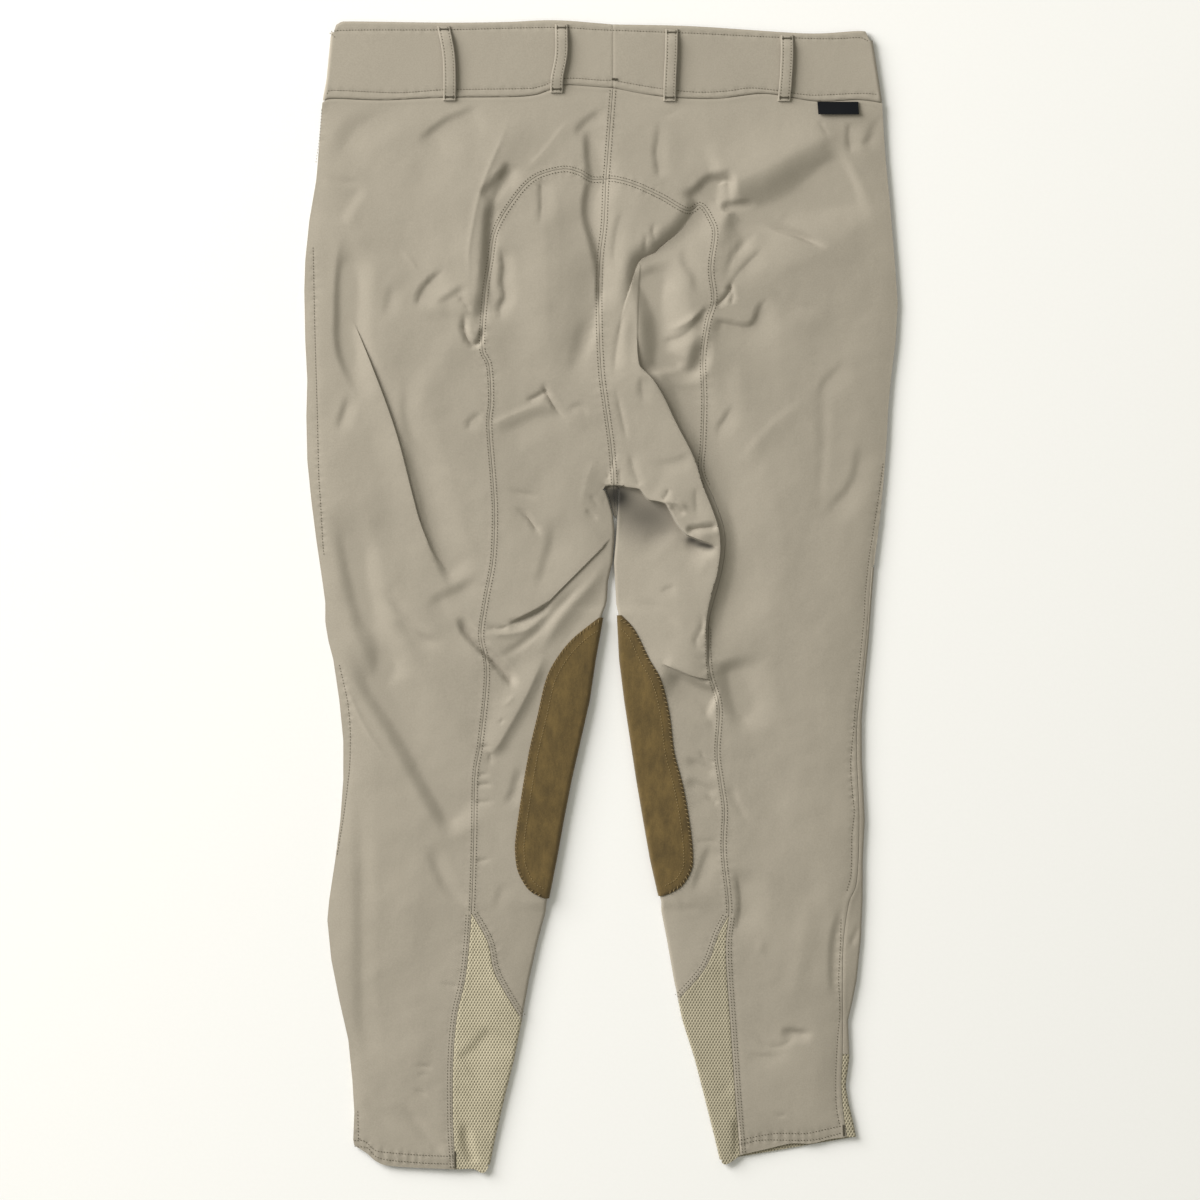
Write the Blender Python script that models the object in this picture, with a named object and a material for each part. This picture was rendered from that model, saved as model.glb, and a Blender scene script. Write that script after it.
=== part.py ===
"""Riding breeches laid flat with the back up, each cut piece a closed wall of cloth.

All tables are in millimetres: X runs to the right, Y towards the waist and Z up from the
surface that the garment lies on. The middle of the outline is at X = 0, Y = 0.
"""
from collections import namedtuple

import bpy
import numpy as np
from mathutils import Vector
from mathutils.geometry import delaunay_2d_cdt

MM = 0.001

# Driving dimensions
CLOTH = 1.5            # wall of the shell fabric
BAND = 2.2             # wall of the doubled waistband
SUEDE = 1.2            # wall of the knee patches
SEAM = 0.3             # gap between pieces at a seam
EDGE_TOP = 3.4         # height of the back at the side seams, over the front
FOLD_TOP = 4.6         # height of the back along the inner leg folds
WAIST_TOP = 4.2        # height of the back at the waist seam
BAND_TOP = 4.9         # height of the waistband
PUFF = 3.2             # how far the back stands up away from its edges
CELL = 15.0            # spacing of the points in a panel
EDGE_CELL = 12.0       # spacing of the points along a seam
BAND_STEP = 8.0        # spacing of the points along the waistband's top and the mesh hems
PLACKET_STEP = 7.0     # spacing of the points along the right placket
CROTCH_Y = 92.0        # bottom of the centre seams
FRONT_SEAM_X = 10.0    # centre front seam, which lies under the centre back seam
CROTCH_TIP = (12.1, 65.0)   # where the centre front seam ends between the legs
LOOP_WIDTH = 10.5
LOOP_WALL = 1.6
LOOP_RISE = 2.2        # how far a belt loop stands off at its middle
LABEL_SIZE = (34.0, 10.6)
LABEL_CORNER = (180.3, 411.9)   # upper left corner of the label, in the waist seam
LABEL_WALL = 1.0
LABEL_GAP = 0.7        # gap between the label and the back
LABEL_RISE = 1.6       # how far the label's lower end stands off
SIDE_RISE = 9.0        # distance in from a side seam over which the back rises
FOLD_RISE = 16.0       # the same from an inner leg fold
WAIST_RISE = 25.0      # and from the waist seam
FOLD_REACH = 30.0      # how far in the turn of the cloth at an inner leg fold lifts the back
SUEDE_REACH = 60.0     # how far in the knee patch lifts the back
FLOOR_EASE = 0.3       # roundness of the change to the lowest height of the back
FRONT_CELL = 30.0      # spacing of the points in a front panel, which is flat
CLEAR = 4.0            # least distance of a panel's own points from its outline
SPOT_GAP = 4.4         # least distance between points along the folds
FILL = 0.62            # share of the spacing that a filling point keeps from the outline
WRAP_SHORT = 6.0       # how far a wrap to the front ends before its full width
PATCH_BULGE = 0.62     # share of the wrap that the knee patch covers at its widest
PATCH_LEAST = 0.06     # and at its ends

# Outline, from the waist to the hem: x for each y
LEFT_SIDE = [
    (-225.0, 470), (-226.0, 460), (-229.0, 430), (-232.5, 411), (-233.5, 396), (-237.5, 347),
    (-243.3, 313), (-246.7, 280), (-247.5, 255), (-246.7, 213), (-245.0, 180), (-245.8, 150),
    (-245.0, 113), (-241.7, 80), (-237.5, 47), (-232.5, 13), (-230.0, -5), (-230.0, -22),
    (-227.5, -37), (-223.3, -53), (-218.3, -87), (-215.0, -120), (-215.0, -153), (-217.5, -187),
    (-221.7, -220), (-226.7, -253), (-228.3, -270), (-225.0, -303), (-218.3, -337),
    (-210.8, -370), (-207.5, -403), (-205.8, -430), (-206.7, -453), (-205.8, -458)]
RIGHT_SIDE = [
    (226.5, 463), (227.8, 455), (231.7, 430), (234.6, 411), (235.5, 393), (237.5, 363),
    (240.8, 330), (245.0, 280), (247.5, 244), (245.8, 213), (241.7, 180), (239.5, 155),
    (238.3, 130), (235.8, 97), (232.5, 63), (228.3, 30), (225.8, -3), (223.3, -37),
    (220.0, -70), (217.5, -103), (217.5, -137), (219.2, -170), (220.0, -187), (218.3, -220),
    (218.3, -253), (216.7, -287), (213.3, -320), (210.0, -337), (206.0, -354), (207.3, -384),
    (204.0, -408), (206.5, -423), (210.0, -437), (213.0, -452)]
LEFT_INNER = [
    (2.0, 92), (6.0, 82), (10.0, 68), (11.3, 55), (11.0, 45), (9.6, 28), (5.8, 12), (5.0, -3),
    (1.7, -20), (-4.2, -53), (-9.2, -87), (-16.7, -120), (-24.2, -153), (-30.8, -187),
    (-36.7, -220), (-43.3, -253), (-52.5, -287), (-60.0, -320), (-65.8, -353), (-72.5, -387),
    (-80.8, -420), (-88.3, -453), (-92.5, -474)]
RIGHT_INNER = [
    (14.6, 92), (14.3, 78), (13.2, 60), (12.2, 45), (10.6, 28), (11.7, 12), (12.5, -3),
    (13.3, -20), (15.0, -53), (19.2, -87), (24.2, -120), (29.2, -153), (35.0, -187),
    (40.8, -220), (48.3, -253), (55.0, -287), (60.8, -320), (67.5, -353), (78.3, -387),
    (86.7, -420), (95.0, -453), (99.0, -470)]

# Seams, as points that a smooth curve runs through
WAIST_TOP_EDGE = [(-225, 470), (-222, 475), (-217, 478), (-208, 479), (-130, 478), (-80, 478.5),
                  (-38, 480), (10, 476.5), (76, 475), (152, 470), (182, 469), (215, 471),
                  (223, 469), (226.5, 463)]
WAIST_SEAM = [(-232.5, 411), (-224, 414.5), (-182, 413.3), (-130, 415.5), (-64, 416.5),
              (-42, 422), (-30, 426), (10, 423.5), (50, 416.5), (94, 414.5), (130, 418.5),
              (148, 417.5), (180, 412.3), (215, 413.5), (234.6, 411)]
CENTRE_BACK = [(10, 423.5), (4.2, 347.5), (2.5, 310), (-0.8, 280), (-1.7, 236), (0, 190),
               (3.3, 163), (8.3, 127), (10.8, 98), (11, 92)]
LEFT_ARCH = [(4.2, 347.5), (-8, 347.5), (-19, 353.5), (-33, 355.8), (-55, 349), (-71, 333),
             (-87.5, 306), (-92.5, 279), (-96.7, 250), (-99.2, 208)]
LEFT_SEAM = [(-99.2, 208), (-93.3, 192), (-91.7, 163), (-93.3, 142), (-90, 98), (-88.5, 68),
             (-90, 30), (-96, -3), (-100, -33), (-95.5, -55), (-96, -80), (-101, -125),
             (-105, -151), (-106, -205), (-108, -264)]
LEFT_CALF_SEAM = [(-108, -264), (-112.5, -315), (-120, -350), (-123.3, -390), (-123.3, -440),
                  (-121, -478)]
RIGHT_ARCH = [(4.2, 347.5), (12, 347.5), (28, 343), (50, 333), (72, 321), (83, 326),
              (92, 313), (95, 301), (91.5, 273), (94.2, 247), (89, 228), (85, 199)]
RIGHT_SEAM = [(85, 199), (86, 163), (85, 127), (84, 104), (93.5, 82), (101, 62), (103.5, 47),
              (102, 28), (98, 10), (93, -8), (89.5, -26), (90.5, -62), (98.5, -92), (96.8, -130),
              (99.5, -152), (103, -178), (102, -212), (106, -250), (106.5, -266)]
RIGHT_CALF_SEAM = [(106.5, -266), (104, -297), (108.3, -364), (112.5, -424), (116, -466)]
LEFT_MESH_TOP = [(-108, -264), (-94.5, -288), (-90, -310), (-82, -327), (-66, -353)]
RIGHT_MESH_TOP = [(106.5, -266), (98, -282), (87, -310), (64, -337)]
LEFT_HEM = [(-205.8, -458), (-196, -464), (-186, -472), (-172, -475.5), (-121, -478)]
LEFT_MESH_HEM = [(-121, -478), (-107, -477.5), (-98, -481), (-92.5, -474)]
RIGHT_HEM = [(116, -466), (134, -462), (158, -456.5), (175, -456.5), (190, -453), (205, -451)]
RIGHT_MESH_HEM = [(99, -470), (103, -474), (109, -471.5), (116, -466)]
RIGHT_SIDE_SEAM = [(224.6, 24), (223.0, 12), (218.6, -50), (213.6, -103), (213.3, -137),
                   (215.2, -187), (213.2, -237), (206.5, -256), (202, -288), (201.2, -325),
                   (201.5, -354), (201.2, -384)]
MESH_SIDE_Y = -384.0    # where the front's mesh seam meets the side
RIGHT_PLACKET = [(201.2, -384), (200.4, -408), (202, -430), (205, -451)]
LEFT_PATCH = [(2, -18), (-12, -26), (-25, -37), (-37, -52), (-46, -70), (-53, -100),
              (-60, -130), (-66, -165), (-71, -200), (-71.5, -215), (-69, -230), (-61, -244),
              (-52, -250), (-42.7, -252)]
RIGHT_PATCH = [(13.5, -16), (28, -28), (40, -52), (50, -70), (57, -98), (61, -130),
               (68, -157), (74, -190), (76.5, -215), (75.5, -228), (68, -241), (58, -247.5),
               (47, -250)]

# Folds and mounds of the back. A fold's left and right widths are those beside its path.
Fold = namedtuple("Fold", "name height left right fade path")
FOLDS = [
    Fold("right seat flap", 8.5, 40, 5, (0.25, 0.2),
         [(125, 347), (108, 345), (90, 341), (80, 325), (66, 306), (50, 292), (33, 279),
          (26, 265), (21, 248)]),
    Fold("right seat valley", -5.0, 14, 9, (0.2, 0.2),
         [(41, 276), (39, 250), (38, 222), (38, 200), (45, 182)]),
    Fold("right thigh roll", 9.5, 5, 60, (0.2, 0.2),
         [(30, 262), (30, 236), (29, 212), (32, 193), (43, 180), (52, 167), (61, 150), (70, 134),
          (79, 115), (88, 92), (96, 72), (99, 55), (99, 40), (97, 24), (93, 6), (88, -12),
          (86, -28)]),
    Fold("crotch flap", 5.5, 34, 5, (0.12, 0.1),
         [(10, 94), (20, 90), (32, 88), (41, 80), (54, 77), (61, 64), (71, 53), (84, 46),
          (98, 40)]),
    Fold("right hip trough", -4.5, 20, 22, (0.2, 0.3),
         [(96, 324), (120, 330), (150, 346), (180, 362), (208, 374)]),
    Fold("right seat crease", -2.6, 9, 9, (0.3, 0.3),
         [(138, 300), (124, 288), (110, 265), (94, 245)]),
    Fold("left seat roll", 6.0, 10, 28, (0.3, 0.2),
         [(-68, 400), (-80, 378), (-91, 354), (-101, 333), (-107, 312), (-110, 288),
          (-108, 262), (-107, 235), (-108, 214)]),
    Fold("left seat trough", -3.5, 12, 6, (0.3, 0.3),
         [(2, 414), (-12, 402), (-11, 372), (-11, 345), (-15, 325), (-11, 300), (-3, 270),
          (-3, 240)]),
    Fold("left hip trough", -3.0, 12, 12, (0.3, 0.3), [(-98, 412), (-124, 404), (-154, 376)]),
    Fold("left side trough", -3.0, 9, 12, (0.3, 0.3),
         [(-221, 295), (-223, 240), (-222, 204), (-207, 165)]),
    Fold("left thigh fold", 5.0, 9, 32, (0.4, 0.3),
         [(-216, 246), (-198, 212), (-182, 172), (-168, 128), (-152, 76), (-124, 14)]),
    Fold("left thigh overlap", 7.0, 5, 42, (0.12, 0.25),
         [(12, 50), (0, 37), (-12, 26), (-26, 12), (-40, -2), (-52, -10), (-66, -17),
          (-80, -26)]),
    Fold("left knee ridge", 3.6, 9, 11, (0.3, 0.3),
         [(-30, 0), (-44, -28), (-50, -56), (-64, -90), (-94, -136)]),
    Fold("left knee trough", -3.0, 16, 16, (0.3, 0.3),
         [(-216, -68), (-186, -100), (-156, -150), (-128, -202)]),
    Fold("left lower side trough", -3.0, 12, 14, (0.3, 0.3),
         [(-228, 70), (-208, 20), (-203, -22), (-178, -76)]),
    Fold("right knee crease", -3.0, 10, 8, (0.3, 0.3), [(48, -54), (66, -62), (92, -71)]),
]
Mound = namedtuple("Mound", "name x y height across along")
MOUNDS = [
    Mound("right thigh bulge", 66, 214, 3.5, 20, 30),
    Mound("left seat", -50, 290, 2.5, 36, 50),
    Mound("left thigh", -130, 150, 2.0, 40, 60),
    Mound("right knee bulge", 60, 0, 3.0, 34, 50),
]
Loop = namedtuple("Loop", "name path")
BELT_LOOPS = [
    Loop("belt_loop_1", [(-131.3, 475), (-127, 452), (-126, 430), (-126.3, 413)]),
    Loop("belt_loop_2", [(-33, 476.5), (-33, 452), (-36.5, 432), (-37, 419.5)]),
    Loop("belt_loop_3", [(59, 472.5), (58.5, 450), (57.5, 430), (57.2, 412.5)]),
    Loop("belt_loop_4", [(155, 467.5), (155, 448), (154, 430), (152.5, 412.5)]),
]
WRAP_WIDTH = [(0, 92), (14, 60), (34, 20), (52, -20), (60, -100), (62, -240), (62, -360)]


# Curves and outlines

def resampled(points, step):
    """Points at an even spacing close to step along a polyline."""
    points = np.asarray(points, float)
    runs = np.hypot(*np.diff(points, axis=0).T)
    along = np.concatenate([[0.0], np.cumsum(runs)])
    count = max(2, int(round(along[-1] / step)) + 1)
    places = np.linspace(0.0, along[-1], count)
    return np.column_stack([np.interp(places, along, points[:, axis]) for axis in (0, 1)])


def smooth(points, step=EDGE_CELL):
    """Even points on a Catmull-Rom curve through hand-placed points."""
    points = np.asarray(points, float)
    padded = np.vstack([2 * points[0] - points[1], points, 2 * points[-1] - points[-2]])
    t = np.linspace(0.0, 1.0, 8, endpoint=False)[:, None]
    pieces = []
    for a, b, c, d in zip(padded, padded[1:], padded[2:], padded[3:]):
        pieces.append(0.5 * (2 * b + (c - a) * t + (2 * a - 5 * b + 4 * c - d) * t ** 2
                             + (3 * b - 3 * c + d - a) * t ** 3))
    return resampled(np.vstack(pieces + [points[-1:]]), step)


def x_at(table, y):
    """The value in the first column of a table at height y."""
    table = np.asarray(table, float)[::-1]
    return np.interp(y, table[:, 1], table[:, 0])


def side_run(table, y_from, y_to, inward=0.0):
    """Points down or up an outline table between two heights, moved sideways."""
    count = max(2, int(round(abs(y_from - y_to) / EDGE_CELL)) + 1)
    y = np.linspace(y_from, y_to, count)
    return np.column_stack([x_at(table, y) + inward, y])


def inset(corners, gaps):
    """A closed outline with each side moved inwards by its own gap."""
    following = np.roll(corners, -1, axis=0)
    runs = following - corners
    runs /= np.hypot(*runs.T)[:, None]
    inwards = np.column_stack([-runs[:, 1], runs[:, 0]])
    area = np.sum(corners[:, 0] * following[:, 1] - corners[:, 1] * following[:, 0])
    inwards *= np.sign(area)
    moved = corners.copy()
    for i in range(len(corners)):
        before, after = inwards[i - 1], inwards[i]
        turn = before[0] * after[1] - before[1] * after[0]
        if abs(turn) > 0.2:
            shift = np.linalg.solve(np.array([before, after]), [gaps[i - 1], gaps[i]])
        else:
            middle = (before + after) / np.linalg.norm(before + after)
            shift = middle * max(gaps[i - 1], gaps[i])
        moved[i] += shift
    return moved


def inside(points, loop):
    """Which points lie inside a closed outline."""
    x, y = points[:, 0][:, None], points[:, 1][:, None]
    ax, ay = loop[:, 0], loop[:, 1]
    bx, by = np.roll(ax, -1), np.roll(ay, -1)
    crosses = (ay > y) != (by > y)
    rise = np.where(by == ay, 1e-9, by - ay)
    return np.sum(crosses & (x < (bx - ax) * (y - ay) / rise + ax), axis=1) % 2 == 1


def clear_of(points, others, distance):
    """The points that keep a distance from every other point."""
    if not len(points) or not len(others):
        return points
    gaps = points[:, None, :] - others[None, :, :]
    return points[np.hypot(gaps[..., 0], gaps[..., 1]).min(axis=1) > distance]


# The back's form

def fold_height(x, y, fold):
    """The height that one fold adds at each point."""
    path = smooth(fold.path, 4.0)
    start, run = path[:-1], np.diff(path, axis=0)
    length = np.hypot(*run.T)
    along = np.concatenate([[0.0], np.cumsum(length)])
    px, py = x[:, None] - start[:, 0], y[:, None] - start[:, 1]
    share = np.clip((px * run[:, 0] + py * run[:, 1]) / length ** 2, 0.0, 1.0)
    off_x, off_y = px - share * run[:, 0], py - share * run[:, 1]
    distance = np.hypot(off_x, off_y)
    nearest = distance.argmin(axis=1)
    rows = np.arange(len(x))
    reach = distance[rows, nearest]
    cross = run[nearest, 0] * off_y[rows, nearest] - run[nearest, 1] * off_x[rows, nearest]
    width = np.where(cross > 0, fold.left, fold.right)
    ratio = np.clip(reach / width, 0.0, 1.0)
    place = (along[nearest] + share[rows, nearest] * length[nearest]) / along[-1]
    fade = np.clip(place / fold.fade[0], 0, 1) * np.clip((1 - place) / fold.fade[1], 0, 1)
    fade = fade * fade * (3 - 2 * fade)
    return fold.height * fade * (1 - ratio) ** 2 * (1 + 1.6 * ratio)


def patch_share(y):
    """1 beside the knee patches and 0 elsewhere along the leg."""
    rise = np.clip((-6 - y) / 10, 0, 1) * np.clip((y + 264) / 10, 0, 1)
    return rise * rise * (3 - 2 * rise)


def low_at(y):
    """Height of an inner leg panel's underside, which lies on the knee patch."""
    return (SUEDE + SEAM) * patch_share(y)


def back_height(x, y):
    """Height of the back's outer face."""
    x, y = np.asarray(x, float), np.asarray(y, float)
    left = x < np.where(y < CROTCH_Y, 10.5, x_at(CENTRE_BACK, np.clip(y, 92, 423)))
    from_side = np.where(left, x - x_at(LEFT_SIDE, y), x_at(RIGHT_SIDE, y) - x)
    low = np.minimum(y, CROTCH_Y)
    to_fold = np.where(left, x_at(LEFT_INNER, low) - x, x - x_at(RIGHT_INNER, low))
    from_fold = np.hypot(to_fold, np.maximum(0.0, y - CROTCH_Y))
    waist = np.asarray(WAIST_SEAM, float)
    from_waist = np.maximum(0.0, np.interp(x, waist[:, 0], waist[:, 1]) - y)
    side = 1 - np.exp(-np.maximum(from_side, 0) / SIDE_RISE)
    fold = 1 - np.exp(-np.maximum(from_fold, 0) / FOLD_RISE)
    belt = 1 - np.exp(-from_waist / WAIST_RISE)
    height = EDGE_TOP + (WAIST_TOP - EDGE_TOP) * (1 - belt)
    height += (FOLD_TOP + low_at(y) - EDGE_TOP) * np.exp(-np.maximum(from_fold, 0) / FOLD_REACH)
    height += PUFF * side * fold * belt
    calm = side * (0.25 + 0.75 * fold) * belt
    for row in FOLDS:
        height += fold_height(x, y, row) * calm
    for row in MOUNDS:
        spread = ((x - row.x) / row.across) ** 2 + ((y - row.y) / row.along) ** 2
        height += row.height * np.exp(-spread) * calm
    floor = EDGE_TOP + 1.1 * low_at(y) * np.exp(-np.maximum(from_fold, 0) / SUEDE_REACH)
    excess = height - floor
    return floor + 0.5 * (excess + np.sqrt(excess ** 2 + FLOOR_EASE))


def back_normal(x, y, reach=4.0):
    """Outward direction of the back, from its slopes."""
    slope_x = (back_height(x + reach, y) - back_height(x - reach, y)) / (2 * reach)
    slope_y = (back_height(x, y + reach) - back_height(x, y - reach)) / (2 * reach)
    slopes = np.column_stack([slope_x, slope_y])
    steep = np.maximum(1.0, np.hypot(*slopes.T))[:, None]
    normal = np.column_stack([-slopes / steep, np.ones(len(slopes))])
    return normal / np.linalg.norm(normal, axis=1)[:, None]


# Skins: points with outward directions, and triangles

class Skin:
    """The outer face of one piece, gathered from sheets and wraps."""

    def __init__(self):
        self.points, self.normals, self.faces, self.marked = [], [], [], []
        self.places = {}

    def point(self, place, normal):
        """The number of a point, added if there is none there yet."""
        key = tuple(np.round(place, 3))
        if key not in self.places:
            self.places[key] = len(self.points)
            self.points.append(np.array(place, float))
            self.normals.append(np.array(normal, float))
        return self.places[key]

    def triangle(self, corners, marked=False):
        """Add a triangle that faces outward. Marked ones are also part of the knee patch."""
        if len(set(corners)) < 3:
            return
        a, b, c = (self.points[i] for i in corners)
        facing = np.dot(np.cross(b - a, c - a), sum(self.normals[i] for i in corners))
        self.faces.append(corners if facing > 0 else corners[::-1])
        self.marked.append(marked)

    def sheet(self, sides, form, chain=(), spots=(), cell=CELL):
        """Fill an outline. sides are (points, gap) runs and form gives heights and directions."""
        corners, gaps = [], []
        for run, gap in sides:
            corners.extend(run[:-1])
            gaps.extend([gap] * (len(run) - 1))
        loop = inset(np.array(corners), np.array(gaps))
        chain = np.asarray(chain, float).reshape(-1, 2)
        fixed = np.vstack([loop, chain])
        spots = np.asarray(spots, float).reshape(-1, 2)
        spots = clear_of(spots[inside(spots, loop)], fixed, CLEAR) if len(spots) else spots
        fixed = np.vstack([fixed, spots])
        low, high = loop.min(axis=0), loop.max(axis=0)
        rows = np.arange(low[1], high[1], cell * 0.866)
        grid = np.array([(x + (0.5 * cell if i % 2 else 0.0), y) for i, y in enumerate(rows)
                         for x in np.arange(low[0], high[0], cell)])
        grid = clear_of(grid[inside(grid, loop)], fixed, FILL * cell)
        flat = np.vstack([fixed, grid])
        links = [(len(loop) + i, len(loop) + i + 1) for i in range(len(chain) - 1)]
        if len(chain):
            ends = [int(np.hypot(*(loop - end).T).argmin()) for end in (chain[0], chain[-1])]
            links += [(ends[0], len(loop)), (len(loop) + len(chain) - 1, ends[1])]
            span = np.arange(min(ends), max(ends) + 1)
            within = np.vstack([loop[span], chain if ends[0] == max(ends) else chain[::-1]])
        result = delaunay_2d_cdt([Vector(p) for p in flat], links, [list(range(len(loop)))],
                                 1, 1e-4)
        made = np.array([tuple(v) for v in result[0]])
        places, normals = form(made[:, 0], made[:, 1])
        index = [self.point(place, normal) for place, normal in zip(places, normals)]
        middles = np.array([made[list(face)].mean(axis=0) for face in result[2]])
        marks = inside(middles, within) if len(chain) else np.zeros(len(middles), bool)
        for face, mark in zip(result[2], marks):
            self.triangle([index[i] for i in face], bool(mark))
        return loop

    def strip(self, rows, marks=None):
        """Join rows of (place, normal) points into a strip of triangles."""
        index = [[self.point(place, normal) for place, normal in row] for row in rows]
        for k in range(len(rows) - 1):
            for j in range(len(rows[0]) - 1):
                mark = bool(marks[k][j]) if marks is not None else False
                a, b = index[k][j], index[k][j + 1]
                c, d = index[k + 1][j + 1], index[k + 1][j]
                self.triangle([a, b, c], mark)
                self.triangle([a, c, d], mark)

    def solid(self, name, wall, material, lift=0.0, marked_only=False):
        """Close the skin with an inner face, wall deep, and add it as an object."""
        chosen = [face for face, mark in zip(self.faces, self.marked) if mark or not marked_only]
        used = sorted({i for face in chosen for i in face})
        new = {old: i for i, old in enumerate(used)}
        faces = [tuple(new[i] for i in face) for face in chosen]
        points = np.array([self.points[i] for i in used])
        normals = np.array([self.normals[i] for i in used])
        outer = points + normals * lift
        inner = outer - normals * wall
        count = len(points)
        closed = faces + [tuple(i + count for i in face[::-1]) for face in faces]
        edges = {(a, b) for f in faces for a, b in ((f[0], f[1]), (f[1], f[2]), (f[2], f[0]))}
        for a, b in sorted(edges):
            if (b, a) not in edges:
                closed += [(b, a, a + count), (b, a + count, b + count)]
        mesh = bpy.data.meshes.new(name)
        mesh.from_pydata([tuple(p) for p in np.vstack([outer, inner]) * MM], [], closed)
        mesh.materials.append(material)
        mesh.shade_smooth()
        mesh.set_sharp_from_angle(angle=1.0)
        made = bpy.data.objects.new(name, mesh)
        bpy.context.scene.collection.objects.link(made)


def on_back(x, y):
    """Form of a panel of the back."""
    return np.column_stack([x, y, back_height(x, y)]), back_normal(x, y)


def on_floor(x, y):
    """Form of a panel of the front, which lies flat."""
    return np.column_stack([x, y, np.zeros_like(x)]), np.tile([0.0, 0.0, -1.0], (len(x), 1))


def on_band(x, y):
    """Form of the waistband's back."""
    return np.column_stack([x, y, np.full_like(x, BAND_TOP)]), np.tile([0.0, 0.0, 1.0], (len(x), 1))


def fold_spots(step=9.0):
    """Points on each fold's crest and at the foot of its steep side."""
    spots = []
    for fold in FOLDS:
        crest = smooth(fold.path, step)
        run = np.gradient(crest, axis=0)
        run /= np.hypot(*run.T)[:, None]
        leftward = np.column_stack([-run[:, 1], run[:, 0]])
        spots.extend(crest)
        if fold.left <= 6:
            spots.extend(crest + leftward * fold.left)
        if fold.right <= 6:
            spots.extend(crest - leftward * fold.right)
    kept = []
    for spot in spots:
        if all(np.hypot(*(spot - other)) > SPOT_GAP for other in kept):
            kept.append(spot)
    return np.array(kept)


def arc_row(start, outward, low, top, turns=(0.25, 0.5, 0.75, 1.0)):
    """Points round a fold, from its top start point down to the underside."""
    radius = (top - low) / 2
    row = []
    for turn in (0.0,) + tuple(turns):
        angle = np.pi * turn
        across, up = np.sin(angle), np.cos(angle)
        place = (start[0] + outward * radius * across, start[1], low + radius + radius * up)
        row.append((place, (outward * across, 0.0, up)))
    return row


def front_drop(left, away):
    """How far the front's mesh seam falls over a distance from the inner fold."""
    fold_x, fold_y = (LEFT_MESH_TOP if left else RIGHT_MESH_TOP)[-1]
    side_x = float(x_at(LEFT_SIDE if left else RIGHT_SIDE, MESH_SIDE_Y))
    return away * (fold_y - MESH_SIDE_Y) / abs(side_x - fold_x)


def fold_line(table, outward, y_values, lift=True):
    """Where the flat back gives way to the turn of a fold, for each height."""
    edge = x_at(table, y_values)
    low = low_at(y_values) if lift else np.zeros_like(y_values)
    trim = (SUEDE + SEAM) * patch_share(y_values) if lift else 0.0
    near = edge - outward * (3.0 + trim)
    radius = (back_height(near, y_values) - low) / 2
    return np.column_stack([edge - outward * (radius + trim), y_values])


# Materials

def cloth(name, colour, roughness):
    """A plain finish for one kind of cloth."""
    material = bpy.data.materials.new(name)
    material.use_nodes = True
    shader = material.node_tree.nodes["Principled BSDF"]
    shader.inputs["Base Color"].default_value = colour
    shader.inputs["Roughness"].default_value = roughness
    shader.inputs["Metallic"].default_value = 0.0
    return material


# Pieces

def waist_parts():
    """The waist seam and top edge in their left and right halves."""
    seam_left = [p for p in WAIST_SEAM if p[0] <= FRONT_SEAM_X]
    seam_right = [p for p in WAIST_SEAM if p[0] >= FRONT_SEAM_X]
    top_left = [p for p in WAIST_TOP_EDGE if p[0] <= FRONT_SEAM_X]
    top_right = [p for p in WAIST_TOP_EDGE if p[0] >= FRONT_SEAM_X]
    return ([smooth(seam_left), smooth(seam_right)],
            [smooth(top_left, BAND_STEP), smooth(top_right, BAND_STEP)])


def waistband(side, material):
    """Half the band, from the centre back round the side to the centre front."""
    seam, top = waist_parts()
    left = side == "left"
    outward = -1 if left else 1
    table = LEFT_SIDE if left else RIGHT_SIDE
    seam, top = (seam[0], top[0][::-1]) if left else (seam[1][::-1], top[1])
    turn = BAND_TOP / 2
    corner_x = seam[0][0] - outward * turn
    corner_y = np.interp(abs(corner_x), np.abs(seam[::-1, 0]), seam[::-1, 1])
    y_side = np.linspace(corner_y, top[-1][1], 6)
    start_x = x_at(table, y_side) - outward * turn
    start_x[0] = corner_x
    side_line = np.column_stack([start_x, y_side])[::-1]
    seam = np.vstack([side_line[-1:], seam[1:]])
    top = np.vstack([top[np.abs(top[:, 0]) < abs(side_line[0][0]) - 1.5], side_line[:1]])
    centre = resampled([seam[-1], top[0]], EDGE_CELL)
    skin = Skin()
    loop = skin.sheet([(seam, SEAM / 2), (centre, SEAM / 2), (top, 0.0), (side_line, 0.0)], on_band)
    starts = loop[-(len(side_line) - 1):]
    starts = np.vstack([starts, loop[:1]])
    front_x = np.linspace(0.0, 1.0, 14)[1:]
    rows = []
    for k, start in enumerate(starts):
        share = k / (len(starts) - 1)
        row = arc_row(start, outward, 0.0, BAND_TOP)
        far_x = FRONT_SEAM_X + outward * SEAM / 2
        for along in front_x:
            drop = along * (2 - along)
            front_y = start[1] - drop * (14 - 2 * share)
            x = start[0] + (far_x - start[0]) * along
            row.append(((x, front_y, 0.0), (0.0, 0.0, -1.0)))
        rows.append(row)
    skin.strip(rows)
    skin.solid("waistband_" + side, BAND, material)
    return np.array([place[:2] for place, _ in rows[-1][4:]])


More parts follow.
